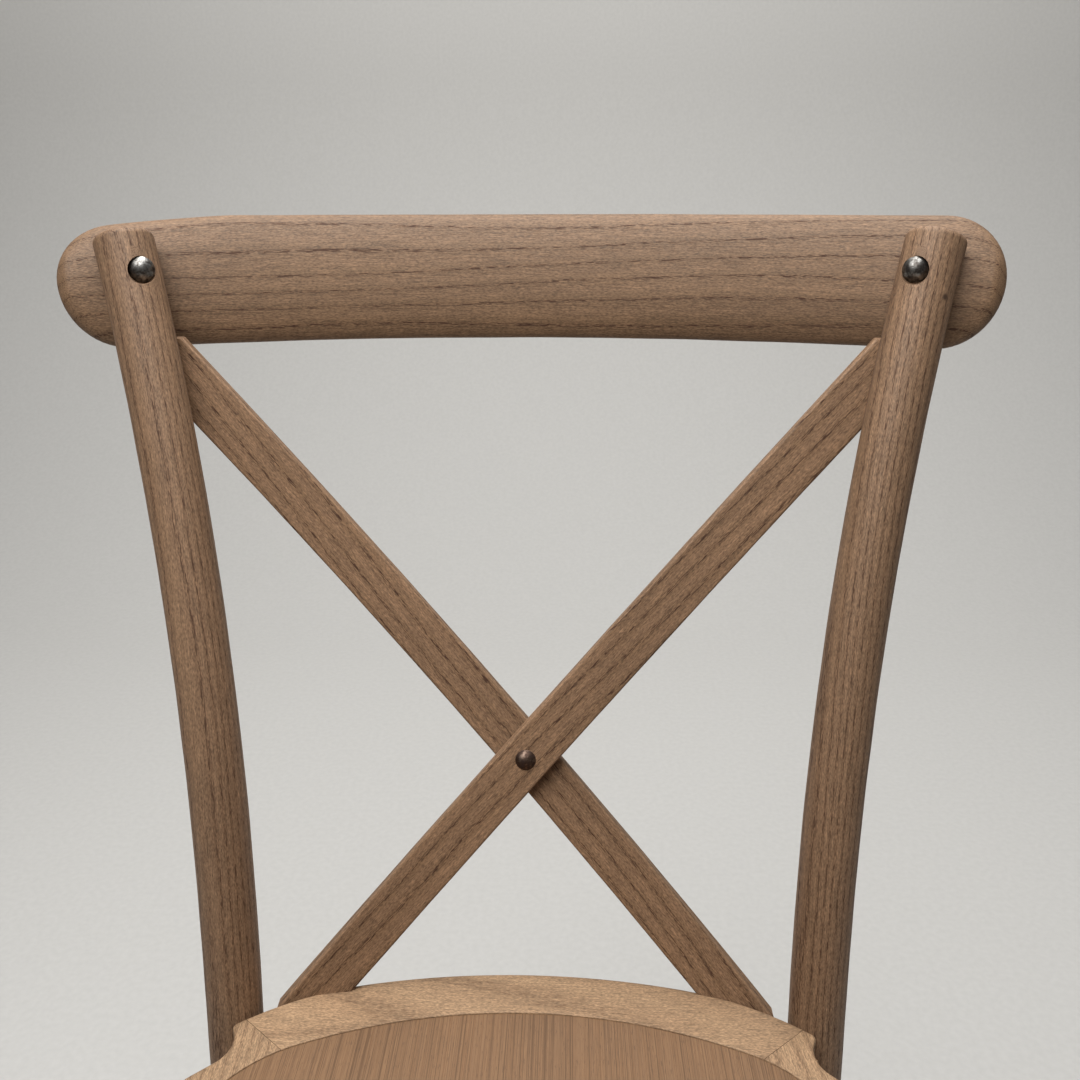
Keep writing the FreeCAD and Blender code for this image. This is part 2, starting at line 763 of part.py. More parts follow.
# Rivets through posts and rail
rivet_start, rivet_direction = crest_rivet_axis()
rail_back = post_diameter / 2 - rail_housing + rail_thickness
rivet_span = rivet_seat_depth + rail_back - rivet_washer_seat
rivet = domed_rivet(rivet_start, rivet_direction, rivet_head_diameter, rivet_head_height,
                    rivet_span + washer_thickness)
rivet_washer = washer(rivet_start + rivet_direction * rivet_span, rivet_direction, rivet_shank_diameter)
rivet_hole = passage(rivet_start, rivet_direction, rivet_shank_diameter, rivet_span)
head_seat = seat_bore(rivet_start, rivet_direction * -1, rivet_head_diameter)
washer_seat = seat_bore(rivet_start + rivet_direction * rivet_span, rivet_direction, washer_diameter)
post = cut_each(post, [rivet_hole, head_seat])
rail = cut_each(rail, both([rivet_hole, washer_seat]))

# Rivet where the slats cross, with a shallow flat seat at each end
cross_start = slat_point(cross_share, slat_front_bow)
cross_start -= slat_normal * (slat_thickness / 2 - cross_seat_depth)
cross_span = 2 * slat_thickness + lap_gap - 2 * cross_seat_depth
cross_rivet = domed_rivet(cross_start, slat_normal, cross_rivet_head_diameter, cross_rivet_head_height,
                          cross_span + washer_thickness)
cross_washer = washer(cross_start + slat_normal * cross_span, slat_normal, rivet_shank_diameter)
cross_hole = passage(cross_start, slat_normal, rivet_shank_diameter, cross_span)
cross_head_seat = seat_bore(cross_start, slat_normal * -1, cross_rivet_head_diameter)
cross_washer_seat = seat_bore(cross_start + slat_normal * cross_span, slat_normal, washer_diameter)
front_top, front_feet = slat_screws(slat_front_bow)
rear_top, rear_feet = slat_screws(slat_rear_bow)
rear_top = [mirrored(screw) for screw in rear_top]
rear_feet = [mirrored(screw) for screw in rear_feet]
slat_front = cut_each(slat_front, [cross_hole, cross_head_seat] + front_top + front_feet)
slat_rear = cut_each(slat_rear, [cross_hole, cross_washer_seat] + rear_top + rear_feet)

# Lag screw from the back of each post into the ear of the seat
lag_centre = post_centre(-lag_drop)
nearest = Part.Vertex(lag_centre).distToShape(ring)[1][0][1]
lag_direction = Vector(nearest.x - lag_centre.x, nearest.y - lag_centre.y, 0).normalize()
lag_face = lag_centre - lag_direction * (post_diameter / 2 - lag_seat_depth)
lag_head_face = lag_face - lag_direction * washer_thickness
lag_head = flat_sided(lag_head_face - lag_direction * lag_head_height, lag_direction,
                      lag_head_flats / math.cos(math.pi / hexagon_sides), lag_head_height, hexagon_sides)
lag = lag_head.fuse(flat_sided(lag_head_face, lag_direction, lag_diameter, lag_length, fixing_sides))
lag_washer = washer(lag_head_face, lag_direction, lag_diameter)
lag_seat = seat_bore(lag_face, lag_direction * -1, washer_diameter)

# Front legs
leg = front_leg_blank()
tenon_hole = rod(Vector(leg_half_spacing, leg_back, rim_bottom), Z_AXIS,
                 leg_tenon_diameter + 2 * glue_gap, leg_tenon_length + glue_gap)

# Braces between the legs, each with a flat housing in both legs
brace_foot = rim_bottom - brace_drop + brace_leg_screw_rise
leg_point = front_leg_centre(brace_foot)
post_point = post_centre(brace_foot - seat_height)
leg_grip = leg_top_diameter / 2
post_grip = post_diameter / 2
rear_point = Vector(post_point.x, -rim_width_rear, brace_foot)
brace_front, front_housing, front_span, front_place = placed_brace(
    Vector(-leg_point.x, leg_point.y, brace_foot), leg_point, leg_grip, leg_grip)
brace_rear, rear_housing, rear_span, rear_place = placed_brace(
    Vector(-rear_point.x, rear_point.y, brace_foot), rear_point, post_grip, post_grip)
brace_right, side_housing, side_span, side_place = placed_brace(leg_point, post_point, leg_grip, post_grip)
front_leg_screws, front_seat_screws = brace_fixings(front_span, front_place)
rear_leg_screws, rear_seat_screws = brace_fixings(rear_span, rear_place)
side_leg_screws, side_seat_screws = brace_fixings(side_span, side_place)

# Seat panel, screwed up through the ledge
opening = opening_outline()
panel_line = opening.makeOffset2D(-panel_gap)
panel = prism(panel_line, rebate_floor, rebate_floor + panel_core_thickness)
veneer = prism(panel_line, rebate_floor + panel_core_thickness, rim_top - panel_sink)
screw_line = opening.makeOffset2D(-ledge_width / 2)
panel_screws = []
for half_share, depth_share in panel_screw_steps:
    place = Vector(shoulder_half * half_share, -rim_width_rear - opening_front_back * depth_share, 0)
    spot = screw_line.distToShape(Part.Vertex(place))[1][0][0]
    panel_screws.append(wood_screw(Vector(spot.x, spot.y, rim_bottom), Z_AXIS, panel_screw_length))
panel_screws = both(panel_screws)

# Foot glides
post_foot = post_centre(glide_height - seat_height)
leg_foot = front_leg_centre(glide_height)
glides = [foot_glide(post_foot), foot_glide(leg_foot)]
nails = [glide_nail(post_foot), glide_nail(leg_foot)]

# Bore and house the wooden pieces
rim_rear = cut_each(rim_rear, both([post_space, lag]) + rear_holes + [slat_front_space, slat_rear_space]
                    + front_feet + rear_feet + rear_seat_screws + panel_screws)
rim_front = cut_each(rim_front, front_holes + front_seat_screws + panel_screws)
rim_right = cut_each(rim_right, [lag, post_space, tenon_hole, slat_rear_space] + rear_holes + front_holes
                     + rear_feet + side_seat_screws + panel_screws)
panel = cut_each(panel, panel_screws)
leg = cut_each(leg, [front_housing, side_housing, nails[1]] + front_leg_screws + side_leg_screws)
post = cut_each(post, [lag, lag_seat, rear_housing, side_housing, nails[0]]
                + rear_leg_screws + side_leg_screws)
post_right = cut_each(post, [slat_front_space] + front_top)
post_left = cut_each(mirrored(post), [slat_rear_space] + rear_top)
brace_front = cut_each(brace_front, front_leg_screws + front_seat_screws)
brace_rear = cut_each(brace_rear, rear_leg_screws + rear_seat_screws)
brace_right = cut_each(brace_right, side_leg_screws + side_seat_screws)

nodes = {
    "crest_rail": rail,
    "back_post_left": post_left,
    "back_post_right": post_right,
    "cross_slat_front": slat_front,
    "cross_slat_rear": slat_rear,
    "seat_rim_rear": rim_rear,
    "seat_rim_front": rim_front,
    "seat_rim_left": mirrored(rim_right),
    "seat_rim_right": rim_right,
    "rim_dowels": Part.makeCompound(rear_dowels + front_dowels),
    "seat_panel_core": panel,
    "seat_panel_veneer": veneer,
    "front_leg_left": mirrored(leg),
    "front_leg_right": leg,
    "brace_front": brace_front,
    "brace_rear": brace_rear,
    "brace_left": mirrored(brace_right),
    "brace_right": brace_right,
    "crest_rivets": Part.makeCompound(both([rivet])),
    "crest_rivet_washers": Part.makeCompound(both([rivet_washer])),
    "cross_rivet": cross_rivet,
    "cross_rivet_washer": cross_washer,
    "post_lag_screws": Part.makeCompound(both([lag])),
    "post_lag_washers": Part.makeCompound(both([lag_washer])),
    "slat_top_screws": Part.makeCompound(front_top + rear_top),
    "slat_foot_screws": Part.makeCompound(front_feet + rear_feet),
    "brace_leg_screws": Part.makeCompound(front_leg_screws + rear_leg_screws + both(side_leg_screws)),
    "brace_seat_screws": Part.makeCompound(front_seat_screws + rear_seat_screws + both(side_seat_screws)),
    "panel_screws": Part.makeCompound(panel_screws),
    "foot_glides": Part.makeCompound(both(glides)),
    "glide_nails": Part.makeCompound(both(nails)),
}

# Move the origin under the middle and write one file for each piece
middle = (rail.optimalBoundingBox().YMax - seat_depth) / 2
os.makedirs("parts", exist_ok=True)
for name, shape in nodes.items():
    shape.translate(Vector(0, -middle, 0))
    shape.exportStep("parts/" + name + ".step")
    print(name, len(shape.Solids), "solids, valid", shape.isValid())
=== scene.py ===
# %% [markdown]
# # A cross back chair, finished in Blender
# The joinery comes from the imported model: every piece is already cut to size and in its place.
# This lesson gives the pieces their finish: softened edges, wood whose grain bends with the
# piece, antique rivets, a pale studio and a camera that looks down on the back and the seat.

# %% Load the chair's frame
import json
import math
import bmesh
import bpy
from mathutils import Matrix, Vector, noise


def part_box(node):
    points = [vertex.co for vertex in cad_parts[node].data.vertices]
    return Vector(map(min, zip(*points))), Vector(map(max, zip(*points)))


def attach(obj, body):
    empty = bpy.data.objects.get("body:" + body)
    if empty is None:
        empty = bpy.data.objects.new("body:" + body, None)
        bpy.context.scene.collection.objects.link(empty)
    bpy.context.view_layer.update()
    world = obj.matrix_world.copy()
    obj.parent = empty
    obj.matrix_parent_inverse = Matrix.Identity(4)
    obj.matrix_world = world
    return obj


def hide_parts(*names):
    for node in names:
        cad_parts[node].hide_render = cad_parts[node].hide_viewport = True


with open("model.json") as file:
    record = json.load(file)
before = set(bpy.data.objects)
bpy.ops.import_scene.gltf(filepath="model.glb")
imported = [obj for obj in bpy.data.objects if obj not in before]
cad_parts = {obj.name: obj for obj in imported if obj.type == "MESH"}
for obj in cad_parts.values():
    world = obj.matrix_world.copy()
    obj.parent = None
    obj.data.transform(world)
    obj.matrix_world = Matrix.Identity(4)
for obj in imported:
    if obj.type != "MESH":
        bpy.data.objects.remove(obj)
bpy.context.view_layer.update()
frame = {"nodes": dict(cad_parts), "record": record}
MM = 0.001
slots = {row["node"]: row["material_slot"] for row in frame["record"]["subparts"]}

# %% [markdown]
# A chair maker works from a few full size lines: the curve down the middle of a post, the sweep
# of the rail, the outline of the seat. The same lines are named here in millimetres, so each new
# piece lands on the solid that it stands for. Everything is drawn in millimetres and turned to
# metres when a piece is finished.

# %% Sizes of the drawing, in millimetres
SEAT_HEIGHT = 460.0
RIM_BOTTOM = 436.0
TAPER_TOP = 274.0
FOOT_LEVEL = 5.0
REAR_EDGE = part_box("seat_rim_rear")[1].y / MM
X_AXIS, Y_AXIS, Z_AXIS = Vector((1, 0, 0)), Vector((0, 1, 0)), Vector((0, 0, 1))
print("rear edge of the seat at", round(REAR_EDGE, 2))


# %% [markdown]
# ## Shared steps
# Bent wood keeps its grain: the fibres run along the bend. So every wooden piece carries a
# `grain` attribute that says where each point lay in the straight plank: across it, into it and
# along it. The wood pattern reads that, and follows a curve as real fibres do. The plank's
# values set how far off the tree's heart was and how much the fibres run out of the face.

# %% Where a point lay in its plank
def plank_place(across, deep, along, plank):
    """Plank position in millimetres. A plank is (heart across, heart deep, start, slopes)."""
    heart_across, heart_deep, start, slope_across, slope_deep = plank
    return Vector((across + heart_across + slope_across * along,
                   deep + heart_deep + slope_deep * along, along + start))


def lay_grain(bm, across, deep, along, plank):
    """Gives a flat piece its plank positions from three directions."""
    layer = bm.verts.layers.float_vector.get("grain") or bm.verts.layers.float_vector.new("grain")
    for vert in bm.verts:
        vert[layer] = plank_place(vert.co.dot(across), vert.co.dot(deep), vert.co.dot(along), plank)


print("1 m along, a plank point lies at", plank_place(0, 0, 1000, (20, 30, 0, 0.02, 0.03))[:])


# %% [markdown]
# A turned or bent piece is one section pushed along a line. The section's ring of edges is
# extruded again and again, and each new ring is carried to its frame on the line. This keeps
# the rings square to the line, as a steam bent or turned part is.

# %% Push a section along a line
def line_frames(points, facings):
    """Matrices along a line, square to it, whose first side looks the way of each facing."""
    frames = []
    for index, (point, facing) in enumerate(zip(points, facings)):
        before, after = points[max(index - 1, 0)], points[min(index + 1, len(points) - 1)]
        along = (after - before).normalized()
        side = (facing - along * along.dot(facing)).normalized()
        turned = Matrix((side, along.cross(side), along)).transposed()
        frames.append(Matrix.Translation(point) @ turned.to_4x4())
    return frames


def pushed_out(bm, edges):
    """Extrudes a ring of edges where it is and returns its new points and its new edges."""
    made = bmesh.ops.extrude_edge_only(bm, edges=edges)["geom"]
    fresh = {item for item in made if isinstance(item, bmesh.types.BMVert)}
    return fresh, [item for item in made
                   if isinstance(item, bmesh.types.BMEdge) and fresh.issuperset(item.verts)]


def swept(section, frames, scales, plank):
    """Solid of a section, in millimetres, extruded from frame to frame with a scale at each."""
    bm = bmesh.new()
    layer = bm.verts.layers.float_vector.new("grain")
    ring = bmesh.ops.create_circle(bm, segments=len(section), radius=1.0)["verts"]
    places = [here @ Matrix.Diagonal((*scale, 1.0, 1.0)) for here, scale in zip(frames, scales)]
    for vert, point in zip(ring, section):
        vert.co = places[0] @ Vector((*point, 0.0))
    rings = [ring]
    edges = list(bm.edges)
    for here, there in zip(places, places[1:]):
        fresh, edges = pushed_out(bm, edges)
        ring = [next(edge.other_vert(vert) for edge in vert.link_edges if edge.other_vert(vert) in fresh)
                for vert in rings[-1]]
        bmesh.ops.transform(bm, matrix=there @ here.inverted(), verts=ring)
        rings.append(ring)
    along = 0.0
    for index, ring in enumerate(rings):
        along += (frames[index].translation - frames[max(index - 1, 0)].translation).length
        for vert, (across, deep) in zip(ring, section):
            vert[layer] = plank_place(across * scales[index][0], deep * scales[index][1], along, plank)
    for ring in (rings[0], rings[-1]):
        bmesh.ops.contextual_create(bm, geom=ring)
    return bm


straight = line_frames([Vector(), X_AXIS], [Z_AXIS, Z_AXIS])
print("a frame's z axis runs along its line:", (straight[0].to_3x3() @ Z_AXIS)[:])


# %% Sections to push
def round_section(radius, segments):
    turns = [math.tau * step / segments for step in range(segments)]
    return [(radius * math.cos(turn), radius * math.sin(turn)) for turn in turns]


def strip_section(width, thickness, corner, steps=4, across=3):
    """Section of a flat strip with eased corners and a few points across its faces."""
    points = []
    half_wide, half_deep = width / 2 - corner, thickness / 2 - corner
    for quarter, (sx, sy) in enumerate(((1, 1), (-1, 1), (-1, -1), (1, -1))):
        for step in range(steps + 1):
            turn = math.radians(90 * (quarter + step / steps))
            points.append((sx * half_wide + corner * math.cos(turn),
                           sy * half_deep + corner * math.sin(turn)))
        if quarter % 2 == 0:
            for step in range(1, across + 1):
                points.append((sx * half_wide * (1 - 2 * step / (across + 1)), sy * thickness / 2))
    return points


print("a strip's section has", len(strip_section(width=28, thickness=9, corner=1.6)), "points")


# %% [markdown]
# Saw cuts, small hand worked dips and the change to metres are the same for every piece.

# %% Saw and hand work
def saw(bm, place, outward):
    """Cuts off what lies beyond a plane and closes the cut."""
    geometry = bm.verts[:] + bm.edges[:] + bm.faces[:]
    bmesh.ops.bisect_plane(bm, geom=geometry, plane_co=place, plane_no=outward, clear_outer=True)
    bmesh.ops.holes_fill(bm, edges=[edge for edge in bm.edges if edge.is_boundary], sides=0)


def hand_work(bm, depth, spread):
    """Sinks the surface here and there by up to depth, as sanding by hand does."""
    bm.normal_update()
    for vert in bm.verts:
        dip = 0.5 + 0.5 * noise.noise(vert.co / spread)
        vert.co = vert.co - vert.normal * (depth * dip)


def flip_side(bm):
    """Turns a right piece into a left one."""
    bmesh.ops.scale(bm, vec=(-1, 1, 1), verts=bm.verts)


print("noise along a line:", [round(noise.noise(X_AXIS * step / 2), 2) for step in range(5)])


# %% Objects, meshes and frames
def add_object(name, data):
    """Puts an object with that mesh, lamp or camera into the scene."""
    made = bpy.data.objects.new(name, data)
    bpy.context.scene.collection.objects.link(made)
    return made


def mesh_from(name, bm):
    """Turns a bmesh into a mesh and frees it."""
    mesh = bpy.data.meshes.new(name)
    bm.to_mesh(mesh)
    bm.free()
    return mesh


def axis_frame(start, direction):
    """Matrix that carries the z axis to a line that starts at a place."""
    side = Z_AXIS.cross(direction).normalized()
    turned = Matrix((side, direction.cross(side), direction)).transposed()
    return Matrix.Translation(start) @ turned.to_4x4()


print("a bore along y looks out to", (axis_frame(Vector(), Y_AXIS).to_3x3() @ Z_AXIS)[:])

# %% Bore a flat seat
BORE_REACH = 20.0


def bored(bm, start, direction, radius):
    """Bores a flat seat at start, looking out along direction, and returns the cut piece."""
    cutter = bmesh.new()
    bmesh.ops.create_cone(cutter, cap_ends=True, segments=48, radius1=radius, radius2=radius,
                          depth=BORE_REACH)
    middle = axis_frame(start, direction) @ Matrix.Translation((0, 0, BORE_REACH / 2))
    bmesh.ops.transform(cutter, matrix=middle, verts=cutter.verts)
    bmesh.ops.recalc_face_normals(bm, faces=bm.faces)
    blank, tool = (add_object("blank", mesh_from("blank", part)) for part in (bm, cutter))
    boring = blank.modifiers.new("bore", "BOOLEAN")
    boring.operation, boring.solver, boring.object = "DIFFERENCE", "EXACT", tool
    cut = blank.evaluated_get(bpy.context.evaluated_depsgraph_get())
    result = bpy.data.meshes.new_from_object(cut)
    fresh = bmesh.new()
    fresh.from_mesh(result)
    for mesh in (blank.data, tool.data, result):
        bpy.data.meshes.remove(mesh)
    # The points of the cut have no grain yet, and take it from the nearest point that has.
    grain = fresh.verts.layers.float_vector["grain"]
    new = [vert for vert in fresh.verts if vert[grain].length < 1.0]
    old = [vert for vert in fresh.verts if vert[grain].length >= 1.0]
    for vert in new:
        near = min(old, key=lambda other: (other.co - vert.co).length)
        vert[grain] = near[grain] + (vert.co - near.co)
    return fresh


print("a bore clears", BORE_REACH, "mm in front of its seat")

# %% Finish a piece
SHARP_ANGLE = 0.7


def finish_piece(name, bm, material, node):
    """Turns a bmesh into a piece in metres that stands for one of the chair's nodes."""
    bmesh.ops.scale(bm, vec=(MM, MM, MM), verts=bm.verts)
    bmesh.ops.recalc_face_normals(bm, faces=bm.faces)
    for face in bm.faces:
        face.smooth = True
    for edge in bm.edges:
        edge.smooth = not (edge.is_manifold and edge.calc_face_angle() > SHARP_ANGLE)
    mesh = mesh_from(name, bm)
    mesh.materials.append(material)
    piece = add_object(name, mesh)
    piece.modifiers.new("flat faces stay flat", "WEIGHTED_NORMAL").keep_sharp = True
    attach(piece, "root")
    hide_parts(node)
    low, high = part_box(node)
    points = [vert.co for vert in mesh.vertices]
    apart = [(min(p[axis] for p in points) - low[axis], max(p[axis] for p in points) - high[axis])
             for axis in range(3)]
    print(name, len(mesh.polygons), "faces; off its box by mm",
          [tuple(round(v / MM, 1) for v in pair) for pair in apart])


print("edges sharper than", round(math.degrees(SHARP_ANGLE)), "degrees stay crisp")


# %% [markdown]
# ## Colour and nodes
# A colour given here is stored for a screen. Light adds up on a linear scale, so one
# function turns each hex value to linear before a shader sees it.

# %% Colour and node helpers
def linear(hex_colour):
    """A screen colour such as #876b53 as linear red, green, blue and alpha."""
    parts = [int(hex_colour[place:place + 2], 16) / 255 for place in (1, 3, 5)]
    return [p / 12.92 if p <= 0.04045 else ((p + 0.055) / 1.055) ** 2.4 for p in parts] + [1.0]


def grey(value):
    return (value, value, value, 1.0)


def add_node(tree, kind, settings=None, links=None, ramp=None):
    """Adds a node, sets its properties or inputs, fills its ramp and links its inputs."""
    node = tree.nodes.new("ShaderNode" + kind)
    for key, value in (settings or {}).items():
        if isinstance(key, str) and hasattr(node, key):
            setattr(node, key, value)
        else:
            node.inputs[key].default_value = value
    for key, source in (links or {}).items():
        tree.links.new(source.outputs[0] if hasattr(source, "outputs") else source, node.inputs[key])
    for place, colour in (ramp or [])[2:]:
        node.color_ramp.elements.new(place)
    for element, (place, colour) in zip(node.color_ramp.elements if ramp else [], ramp or []):
        element.position = place
        element.color = colour
    return node


print("screen grey #808080 is", round(linear("#808080")[0], 3), "of white in light")

# %% [markdown]
# Three steps come back in most finishes. A pattern is a noise that is stretched to a real size
# in millimetres, a tone darkens and lightens a colour by such a pattern, and a material starts
# empty and ends with its shader.

# %% Patterns, tones and new materials
def patterns(tree, place, layers, unit=1.0):
    """Noises by name, from (name, size along x, y and z, detail). A unit of MM suits metres."""
    noises = {}
    for name, size, detail in layers:
        shrink = [1 / (value * unit) for value in size]
        scaled = add_node(tree, "VectorMath", {"operation": "MULTIPLY", 1: shrink}, {0: place})
        noises[name] = add_node(tree, "TexNoise", {"Scale": 1.0, "Detail": detail}, {"Vector": scaled})
    return noises


def toned(tree, colour, pattern, darkest, lightest, share=1.0):
    """Darkens and lightens a colour by a pattern."""
    tone = add_node(tree, "ValToRGB", links={"Fac": pattern},
                    ramp=[(0.3, grey(darkest)), (0.7, grey(lightest))])
    return add_node(tree, "Mix", {"data_type": "RGBA", "blend_type": "MULTIPLY", 0: share},
                    {6: colour, 7: tone}).outputs[2]


def new_material(name):
    material = bpy.data.materials.new(name)
    material.use_nodes = True
    material.node_tree.nodes.clear()
    print("material", name)
    return material, material.node_tree


def finish_material(tree, settings, links):
    """Adds the shader with its settings and links, and the output."""
    shader = add_node(tree, "BsdfPrincipled", settings, links)
    add_node(tree, "OutputMaterial", links={"Surface": shader})


# %% [markdown]
# ## Weathered elm
# Elm is ring porous: each spring the tree grows a narrow band of wide pores, then dense wood.
# Cut through, the pores show as rows of short dark dashes, and wire brushing opens them. So the
# pattern is built from yearly rings round the tree's heart, with dashes about 0.4 mm wide and
# 5 mm long inside the spring bands, fine fibres and flecks between them, and slow changes of
# tone. The rings waver, so the rows of dashes do too. A real fibre and a real pore are finer
# than a pixel, so both are drawn about twice as wide. A matte oil leaves a soft shine, so the
# roughness stays high, and the pores are rougher still. Sizes are given across the plank, into
# it and along it.

# %% Years and pores
# The heart wanders by some years' growth. The other values are in millimetres.
WANDER_YEARS, WAVER, KNOT_CORE, KNOT_EDGE, PORE_DEPTH = 3.0, 1.6, 0.9, 2.2, 0.2
elm_patterns = (("wander", (70, 70, 420), 1.0), ("waver", (7, 7, 45), 2.0),
                ("tone", (26, 26, 170), 3.0), ("fibre", (0.6, 0.6, 22), 4.0),
                ("flecks", (0.5, 0.5, 1.8), 2.0), ("pores", (0.42, 0.42, 5.5), 1.0))


def growing_season(tree, grain, noises, ring):
    """When in its year each point grew, from 0 in spring to 1 at the year's end."""
    flat = add_node(tree, "VectorMath", {"operation": "MULTIPLY", 1: (1, 1, 0)}, {0: grain})
    radius = add_node(tree, "VectorMath", {"operation": "LENGTH"}, {0: flat})
    wandering = add_node(tree, "Math", {"operation": "MULTIPLY_ADD", 1: ring * WANDER_YEARS},
                         {0: noises["wander"], 2: radius.outputs["Value"]})
    wavering = add_node(tree, "Math", {"operation": "MULTIPLY_ADD", 1: WAVER},
                        {0: noises["waver"], 2: wandering})
    years = add_node(tree, "Math", {"operation": "DIVIDE", 1: ring}, {0: wavering})
    return add_node(tree, "Math", {"operation": "FRACT"}, {0: years})


def pore_rows(tree, season, pattern, band):
    """Open pores: dashes of the pattern that lie in the spring wood."""
    spring = add_node(tree, "ValToRGB", links={"Fac": season},
                      ramp=[(0.0, grey(0.1)), (0.02, grey(1.0)), (band * 0.7, grey(0.85)),
                            (band, grey(0.32)), (1.0, grey(0.12))])
    dashes = add_node(tree, "ValToRGB", links={"Fac": pattern},
                      ramp=[(0.5, grey(0.0)), (0.56, grey(1.0))])
    return add_node(tree, "Math", {"operation": "MULTIPLY"}, {0: dashes, 1: spring})


def pin_knot(tree, colour, knot):
    """Darkens a colour within a knot's edge, most in its core."""
    place = add_node(tree, "TexCoord").outputs["Object"]
    away = add_node(tree, "VectorMath", {"operation": "DISTANCE", 1: knot * MM}, {0: place})
    reach = {"From Min": KNOT_CORE * MM, "From Max": KNOT_EDGE * MM, "To Min": 0.9, "To Max": 0.0}
    dark = add_node(tree, "MapRange", reach, {"Value": away.outputs["Value"]})
    return add_node(tree, "Mix", {"data_type": "RGBA", 7: linear("#38271d")},
                    {0: dark, 6: colour}).outputs[2]


print("patterns of elm, in mm:", {name: size for name, size, _ in elm_patterns})


# %% Elm material
def elm(name, light, mid, dark, pore, ring, band, pore_show=0.85, knot=None):
    """Oiled and brushed elm. ring is the mean yearly growth in millimetres."""
    material, tree = new_material(name)
    grain = add_node(tree, "Attribute", {"attribute_name": "grain"}).outputs["Vector"]
    noises = patterns(tree, grain, elm_patterns)
    season = growing_season(tree, grain, noises, ring)
    pores = pore_rows(tree, season, noises["pores"], band)
    growth = add_node(tree, "ValToRGB", links={"Fac": season},
                      ramp=[(0.0, linear(dark)), (band, linear(mid)), (0.55, linear(light)),
                            (0.9, linear(mid)), (1.0, linear(dark))])
    colour = toned(tree, growth, noises["tone"], 0.88, 1.1)
    colour = toned(tree, colour, noises["fibre"], 0.75, 1.2)
    colour = toned(tree, colour, noises["flecks"], 0.56, 1.32)
    shown = add_node(tree, "Math", {"operation": "MULTIPLY", 1: pore_show}, {0: pores})
    colour = add_node(tree, "Mix", {"data_type": "RGBA", 7: linear(pore)},
                      {0: shown, 6: colour}).outputs[2]
    if knot:
        colour = pin_knot(tree, colour, knot)
    shine = add_node(tree, "Math", {"operation": "MULTIPLY_ADD", 1: 0.2, 2: 0.6}, {0: pores})
    sunk = add_node(tree, "Math", {"operation": "SUBTRACT", 0: 1.0}, {1: pores})
    height = add_node(tree, "Math", {"operation": "MULTIPLY_ADD", 1: 0.35},
                      {0: noises["fibre"], 2: sunk})
    bump = add_node(tree, "Bump", {"Strength": 0.35, "Distance": PORE_DEPTH * MM}, {"Height": height})
    finish_material(tree, {"IOR": 1.47, "Specular IOR Level": 0.4},
                    {"Base Color": colour, "Roughness": shine, "Normal": bump})
    return material


# The colours are the summer wood, its middle tone, the dark of a year's end, and the pores. The
# numbers are the growth of a year, the share of it that is spring wood, and how much pores show.
ROUND_STOCK = ("#84684f", "#7d6149", "#755a43", "#3c2416", 3.8, 0.26)
rail_elm = elm("Elm, steam bent and brushed, rail", "#7a5f47", "#745a42", "#6e543d", "#3a2012",
               9.0, 0.15, 0.95)
slat_elm = elm("Elm, steam bent and brushed, slats", "#886a50", "#81644a", "#795d44", "#3a2012",
               5.2, 0.2, 0.95)
rim_elm = elm("Elm, sawn and brushed, seat rim", "#987b5d", "#927558", "#8b6f53", "#5a4230",
              5.0, 0.3, 0.55)
leg_elm = elm("Elm, turned and brushed, legs", *ROUND_STOCK)


# %% [markdown]
# ## Back posts
# Each post is one steam bent pole from the floor to the rail. Its line rakes back, flares out
# above the seat and kicks back below it, and the pole thins from the braces to the foot. The
# foot is sawn level with the floor, the top edge is rounded over, and two flat seats are bored:
# one in front for the rivet's head, one behind for the lag screw that holds the seat.

# %% Post lines
POST_HALF, POST_BACK = 164.1, REAR_EDGE - 26.5
POST_TOP, POST_RADIUS, POST_THINNING = 414.0, 15.5, 2.0
POST_LEAN, POST_BOW, POST_FLARE, BEND_RISE = 0.135, 35.2, 44.2, 400.0
KICK_OUT, KICK_BACK = 22.0, 110.0


def post_centre(rise):
    """Middle of the right post at a height above the seat."""
    if rise > 0:
        out, back = POST_FLARE * (rise / BEND_RISE) ** 2.2, POST_BOW * (rise / BEND_RISE) ** 2
    else:
        out, back = KICK_OUT * (rise / SEAT_HEIGHT) ** 2, KICK_BACK * (rise / SEAT_HEIGHT) ** 2
    return Vector((POST_HALF + out, POST_BACK + POST_LEAN * rise + back, SEAT_HEIGHT + rise))


def taper_share(height):
    """How far down its taper a post or a leg is: 0 above it and 1 at the foot."""
    return min(1.0, max(0.0, (TAPER_TOP - height) / (TAPER_TOP - FOOT_LEVEL)))


def post_radius(rise):
    return POST_RADIUS - POST_THINNING * taper_share(SEAT_HEIGHT + rise)


print("post middle at the seat", post_centre(0)[:], "and at its top", post_centre(POST_TOP)[:])

# %% Seats of the rivet and of the lag screw
RIVET_TURN, RIVET_RISE, RIVET_ASIDE = math.radians(25.0), 397.5, 5.0
RIVET_SPAN, RIVET_FRONT, HEAD_SEAT, WASHER_SEAT = 45.9, 12.6, 7.0, 6.8
LAG_RISE, LAG_SEAT_DEPTH = -17.5, 3.0
rivet_way = Vector((math.sin(RIVET_TURN), math.cos(RIVET_TURN), 0))
rivet_aside = Vector((-math.cos(RIVET_TURN), math.sin(RIVET_TURN), 0)) * RIVET_ASIDE
rivet_start = post_centre(RIVET_RISE) + rivet_aside - rivet_way * RIVET_FRONT
rivet_end = rivet_start + rivet_way * RIVET_SPAN
lag_out = Vector((0.594, 0.805, 0.0)).normalized()
lag_start = post_centre(LAG_RISE) + lag_out * (POST_RADIUS - LAG_SEAT_DEPTH)
print("rivet's head", rivet_start[:], "and its washer", rivet_end[:])

# %% [markdown]
# The photo shows one pin knot, a small dark spot near the top of the right post. It is placed
# by its height above the seat and its turn round the post, and only the posts' elm has it.

